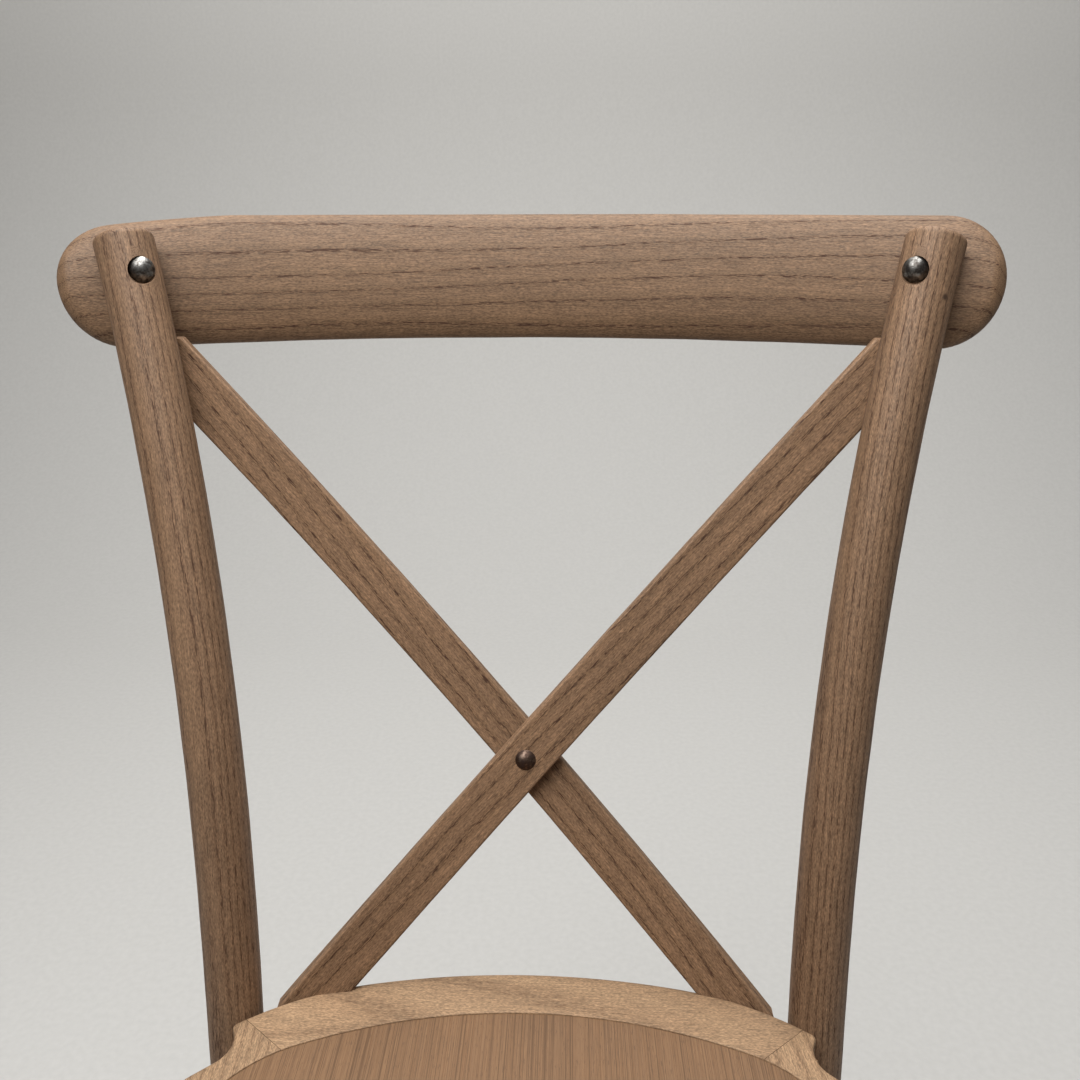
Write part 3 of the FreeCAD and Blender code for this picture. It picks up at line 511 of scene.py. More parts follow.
# %% Elm of the posts
KNOT_RISE, KNOT_TURN = 384.9, math.radians(25.7)
knot_way = Vector((math.sin(KNOT_TURN), -math.cos(KNOT_TURN), 0.0))
knot = post_centre(KNOT_RISE) + knot_way * POST_RADIUS
post_elm = elm("Elm, steam bent and brushed, posts", *ROUND_STOCK, knot=knot)
print("knot at", knot[:])


# %% Make both posts
TOP_ROUND, TOP_STEPS = 3.5, 5
post_planks = {"right": (22.0, 34.0, 40.0, 0.02, -0.035), "left": (-30.0, 26.0, 900.0, 0.03, 0.02)}


def post_blank(plank, segments=48, stations=130):
    foot_rise = FOOT_LEVEL - SEAT_HEIGHT - POST_RADIUS
    shaft_top = POST_TOP - TOP_ROUND
    rises = [foot_rise + (shaft_top - foot_rise) * step / stations for step in range(stations + 1)]
    scales = [post_radius(rise) / POST_RADIUS for rise in rises]
    for step in range(1, TOP_STEPS + 1):
        turn = math.radians(90 * step / TOP_STEPS)
        rises.append(shaft_top + TOP_ROUND * math.sin(turn))
        scales.append(1 - TOP_ROUND / POST_RADIUS * (1 - math.cos(turn)))
    frames = line_frames([post_centre(rise) for rise in rises], [X_AXIS] * len(rises))
    bm = swept(round_section(POST_RADIUS, segments), frames, [(s, s) for s in scales], plank)
    saw(bm, (0, 0, FOOT_LEVEL), -Z_AXIS)
    return bm


for side, plank in post_planks.items():
    post = post_blank(plank)
    hand_work(post, depth=0.35, spread=28.0)
    post = bored(post, rivet_start, -rivet_way, HEAD_SEAT)
    post = bored(post, lag_start, lag_out, WASHER_SEAT)
    if side == "left":
        flip_side(post)
    finish_piece(f"post_{side}", post, post_elm, f"back_post_{side}")


# %% [markdown]
# ## Crest rail
# The rail is a board bent round a wide form, then shaped to a soft lens section that leans
# back. Its ends are sawn to half circles and thinned to the tip. Here one lens shaped ring is
# extruded along the bend, and shrinks over the last 33 mm as the half circle asks. The left end
# was sanded a few millimetres lower than the right, so its points are eased down.

# %% Rail lines
RAIL_RADIUS, RAIL_HALF, RAIL_END = 584.0, 250.0, 33.0
RAIL_HEIGHT, RAIL_THICKNESS, RAIL_TILT = 70.4, 22.0, math.radians(14.0)
RAIL_RISE, RAIL_HOUSING = 388.9, 3.0
LENS_POWER, LENS_SANDED, TIP_THICKNESS, TIP_SHARPNESS = 2.12, 1.0, 0.62, 1.9
LOW_END_FROM, LOW_END_RUN, LOW_END_DROP = -165.0, 60.0, 4.5


def rail_middle():
    """Centre height and the place of the bend's back, from where the post meets the rail."""
    seat_point = post_centre(RAIL_RISE)
    angle = math.asin(seat_point.x / RAIL_RADIUS)
    reach = POST_RADIUS - RAIL_HOUSING + RAIL_THICKNESS / 2
    half, back = seat_point.x + reach * math.sin(angle), seat_point.y + reach * math.cos(angle)
    return Vector((0.0, back + RAIL_RADIUS - math.sqrt(RAIL_RADIUS ** 2 - half ** 2), seat_point.z))


def rail_point(distance):
    """Place on the rail's middle line and the way out of the bend there."""
    angle = distance / RAIL_RADIUS
    outward = Vector((math.sin(angle), math.cos(angle), 0))
    return rail_middle() + outward * RAIL_RADIUS - Y_AXIS * RAIL_RADIUS, outward


def lens_section(height, thickness, power, segments):
    """A soft lens: an ellipse whose faces are a little flatter than a true one."""
    points = []
    for step in range(segments):
        c, s = math.cos(math.tau * step / segments), math.sin(math.tau * step / segments)
        points.append((height / 2 * math.copysign(abs(c) ** (2 / power), c),
                       thickness / 2 * math.copysign(abs(s) ** (2 / power), s)))
    return points


print("rail's middle", rail_middle()[:], "and its right rivet at", post_centre(RAIL_RISE)[:])


# %% Make the rail
def rail_blank(plank, body_steps=60, end_steps=14):
    full = RAIL_RADIUS * math.asin(RAIL_HALF / RAIL_RADIUS) - RAIL_END
    stations = [(full * step / body_steps, 1.0, 1.0) for step in range(body_steps + 1)]
    for step in range(1, end_steps + 1):
        share = math.sin(math.radians(89.0 * step / end_steps))
        height = math.sqrt(1 - share ** 2)
        thinned = TIP_THICKNESS + (1 - TIP_THICKNESS) * height
        stations.append((full + share * RAIL_END, height, thinned * min(1.0, TIP_SHARPNESS * height)))
    stations = [(-d, h, t) for d, h, t in reversed(stations[1:])] + stations
    places = [rail_point(distance) for distance, _, _ in stations]
    tall = [Z_AXIS * math.cos(RAIL_TILT) + outward * math.sin(RAIL_TILT) for _, outward in places]
    frames = line_frames([point for point, _ in places], tall)
    return swept(lens_section(RAIL_HEIGHT, RAIL_THICKNESS - LENS_SANDED, LENS_POWER, 72), frames,
                 [(height, deep) for _, height, deep in stations], plank)


rail = rail_blank((-55.0, 24.0, 300.0, 0.006, 0.012))
for vert in rail.verts:
    reach = min(1.0, max(0.0, (LOW_END_FROM - vert.co.x) / LOW_END_RUN))
    above = max(0.0, (vert.co.z - SEAT_HEIGHT - RAIL_RISE) / (RAIL_HEIGHT / 2))
    vert.co.z -= LOW_END_DROP * above * reach ** 1.5
hand_work(rail, depth=0.5, spread=35.0)
for side in ("right", "left"):
    rail = bored(rail, rivet_end, rivet_way, WASHER_SEAT)
    flip_side(rail)
finish_piece("rail", rail, rail_elm, "crest_rail")


# %% [markdown]
# ## Crossed slats
# Two bent slats cross behind the sitter's back. Each runs from the seat's rear edge to the
# opposite post, bows backwards, and is twisted at its foot to lie against the rim. One rivet
# clamps them where they cross, so the rear slat bows further, by the thickness of the front one
# and a narrow gap. Both are bent too long, then sawn off level and upright at both ends.

# %% Slat lines
SLAT_WIDTH, SLAT_THICKNESS, SLAT_CORNER, SLAT_GAP = 28.0, 9.0, 1.6, 1.0
SLAT_TOP_RISE, SLAT_TOP_INSIDE, SLAT_HOUSING = 345.0, 6.5, 1.5
SLAT_FOOT_HALF, SLAT_FOOT_HEIGHT, SLAT_FOOT_BEHIND = 128.5, 448.0, 3.2
FRONT_BOW, SLAT_TWIST = 11.0, math.radians(12.0)
REAR_RADIUS, REAR_ARC_HALF, EAR = 430.0, 90.0, (161.0, -43.0)


def rear_curve(half):
    """How far the seat's rear edge has curved forward at a distance from the middle."""
    if half <= REAR_ARC_HALF:
        return math.sqrt(REAR_RADIUS ** 2 - half ** 2) - REAR_RADIUS
    start = Vector((REAR_ARC_HALF, rear_curve(REAR_ARC_HALF)))
    heading = Vector((math.sqrt(REAR_RADIUS ** 2 - REAR_ARC_HALF ** 2), -REAR_ARC_HALF)) / REAR_RADIUS
    centre = tangent_centre(start, heading, Vector(EAR))
    radius = (start - centre).length
    return centre.y + math.sqrt(radius ** 2 - (half - centre.x) ** 2)


def tangent_centre(start, heading, end):
    """Centre of the arc that leaves start in a heading and comes to end."""
    side = Vector((-heading.y, heading.x))
    chord = end - start
    return start + side * (chord.length_squared / (2 * chord.dot(side)))


top_post = post_centre(SLAT_TOP_RISE)
slat_top = top_post + Vector((-SLAT_TOP_INSIDE, POST_RADIUS - SLAT_HOUSING + SLAT_THICKNESS / 2, 0))
slat_foot = Vector((-SLAT_FOOT_HALF, REAR_EDGE + rear_curve(SLAT_FOOT_HALF) + SLAT_FOOT_BEHIND,
                    SLAT_FOOT_HEIGHT))
slat_run = slat_top - slat_foot
slat_face = Vector((0, slat_run.z, -slat_run.y)).normalized()
CROSS_SHARE = SLAT_FOOT_HALF / (SLAT_FOOT_HALF + slat_top.x)
REAR_BOW = FRONT_BOW + (SLAT_THICKNESS + SLAT_GAP) / (4 * CROSS_SHARE * (1 - CROSS_SHARE))
print("slats cross at", round(CROSS_SHARE, 3), "of their run")


# %% Make both slats
SLAT_BOTTOM, SLAT_TOP = SEAT_HEIGHT - 19.0, SEAT_HEIGHT + 361.0
SLAT_FOOT_SIDE, SLAT_TOP_SIDE = -SLAT_FOOT_HALF - 12.5, top_post.x + 8.0


def slat_point(share, bow):
    return slat_foot + slat_run * share + slat_face * (4 * bow * share * (1 - share))


def slat_blank(bow, plank, stations=110, overrun=0.09):
    shares = [-overrun + (1 + 2 * overrun) * step / stations for step in range(stations + 1)]
    facings = []
    for share in shares:
        heading = (slat_run + slat_face * (4 * bow * (1 - 2 * share))).normalized()
        twist = SLAT_TWIST * max(0.0, 1 - share / CROSS_SHARE) ** 2
        facings.append(Matrix.Rotation(twist, 3, heading) @ heading.cross(slat_face))
    frames = line_frames([slat_point(share, bow) for share in shares], facings)
    section = strip_section(SLAT_WIDTH, SLAT_THICKNESS, SLAT_CORNER)
    bm = swept(section, frames, [(1.0, 1.0)] * len(frames), plank)
    saw(bm, (0, 0, SLAT_BOTTOM), -Z_AXIS)
    saw(bm, (0, 0, SLAT_TOP), Z_AXIS)
    saw(bm, (SLAT_FOOT_SIDE, 0, 0), -X_AXIS)
    saw(bm, (SLAT_TOP_SIDE, 0, 0), X_AXIS)
    return bm


for side, bow, plank in (("front", FRONT_BOW, (18.0, 26.0, 1500.0, 0.03, 0.02)),
                         ("rear", REAR_BOW, (-24.0, 21.0, 2300.0, -0.02, 0.03))):
    slat = slat_blank(bow, plank)
    hand_work(slat, depth=0.25, spread=22.0)
    if side == "rear":
        flip_side(slat)
    finish_piece(f"slat_{side}", slat, slat_elm, f"cross_slat_{side}")


# %% [markdown]
# ## Seat rim
# Four pieces meet at slanting joints round the seat panel. The outline is a chain of arcs, each
# leaving the last one smoothly, so it is drawn by spinning a single point round one centre after
# another. Half is drawn and mirrored. Walls are then extruded from the outlines, the ledge that
# carries the panel is an inset, and the edges are eased with a bevel.

# %% Draw an outline by spinning a point
def spin_point(bm, vert, centre, end, steps):
    """Spins a point about a centre to its end and returns the new point and its heading."""
    start_arm, end_arm = vert.co.to_2d() - centre, end - centre
    angle = math.atan2(end_arm.y, end_arm.x) - math.atan2(start_arm.y, start_arm.x)
    angle = (angle + math.pi) % math.tau - math.pi
    made = bmesh.ops.spin(bm, geom=[vert], cent=(*centre, vert.co.z), axis=Z_AXIS,
                          angle=angle, steps=steps)
    last = next(item for item in made["geom_last"] if isinstance(item, bmesh.types.BMVert))
    heading = Vector((-end_arm.y, end_arm.x)).normalized() * math.copysign(1.0, angle)
    return last, heading


def draw_chain(bm, start, ends, height, steps):
    """Tangent arcs from a point on the middle line, first heading sideways."""
    vert = bm.verts.new((start.x, start.y, height))
    heading = Vector((1.0, 0.0))
    for end, count in zip(ends, steps):
        here = vert.co.to_2d()
        vert, heading = spin_point(bm, vert, tangent_centre(here, heading, end), end, count)
    return vert


def seat_place(half, back):
    """A point of the seat's drawing, whose rear edge is at zero."""
    return Vector((half, REAR_EDGE + back))


def mirror_new(bm, old):
    """Mirrors what was drawn since and returns the closed loop of edges."""
    fresh = [item for item in bm.verts[:] + bm.edges[:] if item not in old]
    bmesh.ops.mirror(bm, geom=fresh, axis="X", merge_dist=0.01)
    return [edge for edge in bm.edges if edge not in old]


print("the scoop's ear is at", seat_place(*EAR)[:])

# %% Outlines of the rim and of its opening
RIM_FRONT, RIM_ENDS = (0.0, -425.0), ((146.0, -418.0), (208.0, -352.0), (200.0, -135.0))
SCOOP_END, SCOOP_DEEP = (164.0, -69.5), (156.6, -54.4)
OPENING_FRONT, OPENING_ENDS = (0.0, -388.0), ((122.0, -382.5), (167.0, -335.0), (168.0, -125.0))
OPENING_HALF, OPENING_RADIUS, OPENING_BACK = 118.0, 300.0, -30.0


def outer_loop(bm, height):
    """The rim's outline: front and side arcs, the scoop through its deepest point, the rear."""
    ends = [seat_place(*end) for end in (*RIM_ENDS, SCOOP_END)]
    last = draw_chain(bm, seat_place(*RIM_FRONT), ends, height, (14, 14, 12, 6))
    start, middle, end = seat_place(*SCOOP_END), seat_place(*SCOOP_DEEP), seat_place(*EAR)
    chord, half_way = middle - start, (start + middle) / 2
    other, other_way = end - middle, (middle + end) / 2
    lean = Vector((-chord.y, chord.x))
    centre = half_way + lean * ((other_way - half_way).dot(other) / lean.dot(other))
    spin_point(bm, last, centre, end, 6)
    rear_end = seat_place(REAR_ARC_HALF, rear_curve(REAR_ARC_HALF))
    draw_chain(bm, seat_place(0, 0), [rear_end, end], height, (10, 8))
    bmesh.ops.remove_doubles(bm, verts=bm.verts, dist=0.02)
    return mirror_new(bm, set())


def opening_loop(bm, height):
    """The edge round the panel, drawn into what is there."""
    old = set(bm.verts[:] + bm.edges[:] + bm.faces[:])
    ends = [seat_place(*end) for end in OPENING_ENDS]
    curved = math.sqrt(OPENING_RADIUS ** 2 - OPENING_HALF ** 2) - OPENING_RADIUS
    corner = seat_place(OPENING_HALF, OPENING_BACK + curved)
    draw_chain(bm, seat_place(*OPENING_FRONT), ends + [corner], height, (14, 14, 14, 14))
    draw_chain(bm, seat_place(0, OPENING_BACK), [corner], height, (14,))
    fresh = [vert for vert in bm.verts if vert not in old]
    bmesh.ops.remove_doubles(bm, verts=fresh, dist=0.02)
    return mirror_new(bm, old)


print("the opening is", 2 * max(half for half, _ in OPENING_ENDS), "mm wide")

# %% Build the whole rim
PANEL_BED, LEDGE_WIDTH = 10.0, 12.0


def extrude_loop(bm, edges, drop):
    """Extrudes a loop of edges straight down and returns the new loop."""
    fresh, far_edges = pushed_out(bm, edges)
    bmesh.ops.translate(bm, vec=(0, 0, -drop), verts=list(fresh))
    return far_edges


def rim_solid():
    bm = bmesh.new()
    outer_top = outer_loop(bm, SEAT_HEIGHT)
    opening_top = opening_loop(bm, SEAT_HEIGHT)
    bmesh.ops.bridge_loops(bm, edges=outer_top + opening_top)
    ledge_outer = extrude_loop(bm, opening_top, PANEL_BED)
    panel_bed = bmesh.ops.contextual_create(bm, geom=ledge_outer)["faces"][0]
    bmesh.ops.inset_region(bm, faces=[panel_bed], thickness=LEDGE_WIDTH, use_even_offset=True)
    ledge_inner = list(panel_bed.edges)
    bmesh.ops.delete(bm, geom=[panel_bed], context="FACES_ONLY")
    ledge_bottom = extrude_loop(bm, ledge_inner, SEAT_HEIGHT - PANEL_BED - RIM_BOTTOM)
    outer_bottom = extrude_loop(bm, outer_top, SEAT_HEIGHT - RIM_BOTTOM)
    bmesh.ops.bridge_loops(bm, edges=outer_bottom + ledge_bottom)
    bmesh.ops.recalc_face_normals(bm, faces=bm.faces)
    return bm


rim = rim_solid()
print("rim", len(rim.faces), "faces with its edges still sharp")

# %% Ease the rim's edges
EAR_ROUND, OUTER_EASE, LIP_EASE = 3.0, 2.0, 0.7
OPENING_MIDDLE, LEAST_TURN, WITHIN = -210.0, 1.2, 0.01


def at_ear(edge):
    """Whether an edge stands upright where a post's hollow meets the rear edge."""
    first, second = (vert.co for vert in edge.verts)
    upright = abs(first.z - second.z) > 20 and (first - second).to_2d().length < WITHIN
    return upright and (Vector((abs(first.x), first.y)) - seat_place(*EAR)).length < 0.1


def ease_edges(bm):
    """Rounds the ears, then eases the outer edges more than the lip round the panel."""
    ears = [edge for edge in bm.edges if at_ear(edge)]
    bmesh.ops.bevel(bm, geom=ears, offset=EAR_ROUND, segments=5, profile=0.5,
                    affect="EDGES", material=-1)
    inside = Vector((0, REAR_EDGE + OPENING_MIDDLE, 0))
    for outside, amount, segments in ((True, OUTER_EASE, 4), (False, LIP_EASE, 3)):
        chosen = []
        for edge in bm.edges:
            if not edge.is_manifold or edge.calc_face_angle() < LEAST_TURN:
                continue
            wall = min(edge.link_faces, key=lambda face: abs(face.normal.z))
            middle = (edge.verts[0].co + edge.verts[1].co) / 2
            at_top = abs(middle.z - SEAT_HEIGHT) < WITHIN
            level = abs(edge.verts[0].co.z - edge.verts[1].co.z) < WITHIN
            away = wall.normal.dot(middle - inside) > 0
            if level and away == outside and (outside or at_top):
                chosen.append(edge)
        bmesh.ops.bevel(bm, geom=chosen, offset=amount, segments=segments, profile=0.5,
                        affect="EDGES", material=-1)


ease_edges(rim)
print("rim", len(rim.faces), "faces before the joints are sawn")


# %% Saw the rim at its four joints
KERF, HALF_WAY = 0.12, Vector((0, REAR_EDGE - 300.0, 0))
rear_joint = Vector((129.0, REAR_EDGE - 59.5, 0))
front_joint = Vector((128.0, REAR_EDGE - 379.0, 0))
rear_angle, front_angle = math.radians(39.7), math.radians(-73.0)
rear_square = Vector((math.sin(rear_angle), -math.cos(rear_angle), 0))
front_square = Vector((-math.sin(front_angle), math.cos(front_angle), 0))


def other_side(vector):
    return Vector((-vector.x, vector.y, vector.z))


def rim_piece(side):
    """One of the rim's four pieces, sawn from a copy of the whole rim."""
    away = KERF if side in ("left", "right") else -KERF
    rear_cut = (rear_joint + rear_square * away, rear_square)
    front_cut = (front_joint + front_square * away, front_square)
    if side in ("left", "right"):
        cuts = [(Vector(), -X_AXIS)] + [(place, -outward) for place, outward in (rear_cut, front_cut)]
    else:
        cuts = [rear_cut if side == "rear" else front_cut]
    flipped = [(other_side(place), other_side(outward)) for place, outward in cuts]
    if side == "left":
        cuts = flipped
    elif side != "right":
        cuts += flipped
    if side == "front":
        cuts.append((HALF_WAY, Y_AXIS))
    bm = rim.copy()
    for place, outward in cuts:
        saw(bm, place, outward)
    return bm


rim_planks = {"rear": (X_AXIS, Y_AXIS, (-110.0, 75.0, 3000.0, 0.03, 0.04)),
              "front": (X_AXIS, Y_AXIS, (300.0, 25.0, 3500.0, 0.02, 0.02)),
              "left": (Y_AXIS, X_AXIS, (230.0, 28.0, 4000.0, 0.05, 0.03)),
              "right": (Y_AXIS, X_AXIS, (-140.0, 30.0, 4600.0, 0.12, 0.02))}
for side, (along, across, plank) in rim_planks.items():
    piece = rim_piece(side)
    lay_grain(piece, across, Z_AXIS, along, (plank[0], plank[1] - SEAT_HEIGHT, *plank[2:]))
    finish_piece(f"rim_{side}", piece, rim_elm, f"seat_rim_{side}")
rim.free()


# %% [markdown]
# ## Seat panel face
# A thin oiled veneer covers the plywood panel. It is sliced across many years of growth, so
# it shows straight stripes from front to back, one to two millimetres wide. A noise stretched
# along the depth gives the stripes, and a finer one breaks them up as pores do.

# %% Veneer material
veneer_elm, tree = new_material("Elm veneer, quarter sliced and oiled")
place = add_node(tree, "TexCoord").outputs["Object"]
noises = patterns(tree, place, (("stripe", (0.6, 300, 10), 1.0), ("fine", (0.3, 14, 10), 3.0),
                                ("tone", (45, 160, 20), 2.0), ("pores", (0.5, 5, 5), 2.0)), MM)
colour = add_node(tree, "ValToRGB", links={"Fac": noises["stripe"]},
                  ramp=[(0.36, linear("#5e432a")), (0.46, linear("#6f5238")),
                        (0.54, linear("#7b5c3f")), (0.66, linear("#6a4c31"))])
colour = toned(tree, colour, noises["fine"], 0.76, 1.16, share=0.8)
colour = toned(tree, colour, noises["tone"], 0.94, 1.06)
pores = add_node(tree, "ValToRGB", links={"Fac": noises["pores"]},
                 ramp=[(0.6, grey(0.0)), (0.68, grey(0.5))])
colour = add_node(tree, "Mix", {"data_type": "RGBA", 7: linear("#4c3624")}, {0: pores, 6: colour})
bump = add_node(tree, "Bump", {"Strength": 0.3, "Distance": 0.1 * MM}, {"Height": noises["fine"]})
finish_material(tree, {"Roughness": 0.58, "IOR": 1.47, "Specular IOR Level": 0.45},
                {"Base Color": colour.outputs[2], "Normal": bump})

# %% Make the veneer
VENEER_SUNK, VENEER_GAP, VENEER_THICKNESS = 1.0, 1.0, 1.2
veneer = bmesh.new()
veneer_edge = opening_loop(veneer, SEAT_HEIGHT - VENEER_SUNK)
sheet = bmesh.ops.contextual_create(veneer, geom=veneer_edge)["faces"][0]
bmesh.ops.inset_region(veneer, faces=[sheet], thickness=VENEER_GAP, use_even_offset=True)
bmesh.ops.delete(veneer, geom=[face for face in veneer.faces if face is not sheet], context="FACES")
walls = bmesh.ops.extrude_face_region(veneer, geom=[sheet], use_keep_orig=True)["geom"]
lower = [item for item in walls if isinstance(item, bmesh.types.BMVert)]
bmesh.ops.translate(veneer, vec=(0, 0, -VENEER_THICKNESS), verts=lower)
finish_piece("veneer", veneer, veneer_elm, "seat_panel_veneer")


# %% [markdown]
# ## Front legs
# The front legs are turned on a lathe: thick at the seat, thin at the foot, with a faint swell,
# and set at a splay. They are swept like the posts, along a straight line, from a blank that is
# too long, and sawn level.

# %% Leg lines and both legs
LEG_HALF, LEG_BACK = 177.0, REAR_EDGE - 379.0
LEG_OUT, LEG_FORWARD = 12.0, 8.0
LEG_TOP, LEG_FOOT, LEG_SWELL = 18.0, 13.0, 1.2
BLANK_START, BLANK_LENGTH, BLANK_STEPS = -5.0, 450.0, 60
leg_planks = {"right": (16.0, 22.0, 5200.0, 0.02, 0.02), "left": (-25.0, 12.0, 5900.0, 0.01, 0.03)}


def leg_centre(height):
    share = (RIM_BOTTOM - height) / (RIM_BOTTOM - FOOT_LEVEL)
    return Vector((LEG_HALF + share * LEG_OUT, LEG_BACK - share * LEG_FORWARD, height))


def leg_radius(height):
    share = taper_share(height)
    return LEG_TOP - share * (LEG_TOP - LEG_FOOT) + LEG_SWELL * 4 * share * (1 - share)


for side, plank in leg_planks.items():
    heights = [BLANK_START + BLANK_LENGTH * step / BLANK_STEPS for step in range(BLANK_STEPS + 1)]
    frames = line_frames([leg_centre(height) for height in heights], [X_AXIS] * len(heights))
    leg = swept(round_section(1.0, 48), frames, [(leg_radius(h), leg_radius(h)) for h in heights], plank)
    saw(leg, (0, 0, FOOT_LEVEL), -Z_AXIS)
    saw(leg, (0, 0, RIM_BOTTOM), Z_AXIS)
    hand_work(leg, depth=0.25, spread=30.0)
    if side == "left":
        flip_side(leg)
    finish_piece(f"leg_{side}", leg, leg_elm, f"front_leg_{side}")


# %% [markdown]
# ## Bentwood braces
# Four bent strips stiffen the legs. Each is an arch with upright ends that are screwed to the
# legs and a flat crown that is screwed under the seat.

# %% Brace lines
BRACE_WIDTH, BRACE_THICKNESS, BRACE_DROP, BRACE_BEND = 24.0, 11.0, 150.0, 95.0
BRACE_HOUSING, BRACE_CORNER, SCREW_RISE, REAR_INSET = 2.0, 2.5, 20.0, 30.0
UPRIGHT_STEPS, BEND_STEPS, CROWN_STEPS = 6, 24, 4


def brace_line(start, end, start_radius, end_radius):
    """Middle line of an arch between two leg centres, housed a little into each."""
    along = Vector((end.x - start.x, end.y - start.y, 0)).normalized()
    left = start + along * (start_radius - BRACE_HOUSING)
    right = end - along * (end_radius - BRACE_HOUSING)
    middle, half = (left + right) / 2, (right - left).length / 2
    foot, bend = RIM_BOTTOM - BRACE_DROP, BRACE_BEND - BRACE_THICKNESS / 2
    path = [(half - BRACE_THICKNESS / 2, foot + (BRACE_DROP - BRACE_BEND) * step / UPRIGHT_STEPS)
            for step in range(UPRIGHT_STEPS)]
    for step in range(BEND_STEPS + 1):
        turn = math.radians(90.0 * step / BEND_STEPS)
        path.append((half - BRACE_BEND + bend * math.cos(turn),
                     RIM_BOTTOM - BRACE_BEND + bend * math.sin(turn)))
    crown, level = path[-1]
    path += [(crown * (1 - step / CROWN_STEPS), level) for step in range(1, CROWN_STEPS + 1)]
    path += [(-reach, height) for reach, height in reversed(path[:-1])]
    ground = Vector((middle.x, middle.y, 0))
    return [ground + along * reach + Z_AXIS * height for reach, height in path], Z_AXIS.cross(along)


fix_height = RIM_BOTTOM - BRACE_DROP + SCREW_RISE
leg_spot, post_spot = leg_centre(fix_height), post_centre(fix_height - SEAT_HEIGHT)
leg_grip, post_grip = leg_radius(fix_height), post_radius(fix_height - SEAT_HEIGHT)
rear_spot = Vector((post_spot.x, REAR_EDGE - REAR_INSET, fix_height))
brace_ends = {"front": (other_side(leg_spot), leg_spot, leg_grip, leg_grip),
              "rear": (other_side(rear_spot), rear_spot, post_grip, post_grip),
              "right": (leg_spot, post_spot, leg_grip, post_grip),
              "left": (other_side(leg_spot), other_side(post_spot), leg_grip, post_grip)}
print("braces are fixed at a height of", fix_height)

# %% Make the braces
for number, (side, ends) in enumerate(brace_ends.items()):
    points, wide = brace_line(*ends)
    frames = line_frames(points, [wide] * len(points))
    frames[0].translation.z = frames[-1].translation.z = RIM_BOTTOM - BRACE_DROP
    section = strip_section(BRACE_WIDTH, BRACE_THICKNESS, BRACE_CORNER)
    plank = (14.0, 24.0, 7000.0 + 800.0 * number, 0.02, 0.02)
    brace = swept(section, frames, [(1.0, 1.0)] * len(frames), plank)
    hand_work(brace, depth=0.2, spread=25.0)
    finish_piece(f"brace_{side}", brace, leg_elm, f"brace_{side}")


# %% [markdown]
# ## Rivets
# The rail is clamped to each post by a domed rivet, and a third one holds the slats. They are
# steel with an antique pewter plating, tumbled so that it looks lightly hammered. The third is
# blackened and browned by hand, so it is darker, warmer and duller. A half profile is drawn
# point by point and spun round the axis, then the dome is dented a little.

# %% Rivet finish
MOTTLE_SIZE, GRIT_SIZE, DENT_DEPTH = 2.5, 0.6, 0.08


def antique_metal(name, bright, dull, stain, rough, worn):
    """Plated and tumbled steel: mottled tone, with stain where hands have not polished it."""
    material, tree = new_material(name)
    place = add_node(tree, "TexCoord").outputs["Object"]
    mottle = add_node(tree, "TexNoise", {"Scale": 1 / (MOTTLE_SIZE * MM), "Detail": 4.0}, {"Vector": place})
    grit = add_node(tree, "TexNoise", {"Scale": 1 / (GRIT_SIZE * MM), "Detail": 3.0}, {"Vector": place})
    colour = add_node(tree, "ValToRGB", links={"Fac": mottle},
                      ramp=[(0.36, linear(stain)), (0.48, linear(dull)), (0.62, linear(bright))])
    shine_range = {"From Min": 0.3, "From Max": 0.7, "To Min": rough + 0.2, "To Max": rough}
    shine = add_node(tree, "MapRange", shine_range, {"Value": mottle})
    metal_range = {"From Min": 0.35, "From Max": 0.5, "To Min": worn, "To Max": 1.0}
    metal = add_node(tree, "MapRange", metal_range, {"Value": mottle})
    bump = add_node(tree, "Bump", {"Strength": 0.4, "Distance": DENT_DEPTH * MM}, {"Height": grit})
    finish_material(tree, {}, {"Base Color": colour, "Roughness": shine, "Metallic": metal,
                               "Normal": bump})
    return material


pewter = antique_metal("Steel, antique pewter plated and tumbled", "#8f8d89", "#63605c", "#3a3531",
                       rough=0.3, worn=0.85)
dark_bronze = antique_metal("Steel, blackened and browned by hand", "#6b5a4f", "#4a3a31", "#33231d",
                            rough=0.45, worn=0.5)


# %% Make the rivets
SHANK_RADIUS, TAIL_RADIUS, TAIL_HEIGHT, DOME_STEPS = 2.75, 4.2, 2.2, 10
WASHER_THICKNESS, HEAD_SUNK = 1.4, 0.2


def rivet_solid(head_radius, head_height, length):
    """A rivet whose head's base is at the origin and whose shank runs up the z axis."""
    bm = bmesh.new()
    domes = []
    for radius, height, base, way in ((head_radius, head_height, 0.0, -1),
                                      (TAIL_RADIUS, TAIL_HEIGHT, length, 1)):
        ball = (radius ** 2 + height ** 2) / (2 * height)
        spread = math.asin(min(1.0, radius / ball))
        turns = [spread * step / DOME_STEPS for step in range(DOME_STEPS + 1)]
        domes.append([(ball * math.sin(turn), base + way * (ball * math.cos(turn) - ball + height))
                      for turn in turns])
    profile = domes[0] + [(SHANK_RADIUS, 0.0), (SHANK_RADIUS, length)] + domes[1][::-1]
    last = bm.verts.new((profile[0][0], 0, profile[0][1]))
    for radius, height in profile[1:]:
        last = bmesh.ops.extrude_vert_indiv(bm, verts=[last])["verts"][0]
        last.co = Vector((radius, 0, height))
    bmesh.ops.spin(bm, geom=bm.verts[:] + bm.edges[:], cent=(0, 0, 0), axis=Z_AXIS,
                   angle=math.tau, steps=40, use_merge=True)
    bmesh.ops.remove_doubles(bm, verts=bm.verts, dist=0.01)
    bmesh.ops.recalc_face_normals(bm, faces=bm.faces)
    hand_work(bm, depth=0.25, spread=2.6)
    return bm


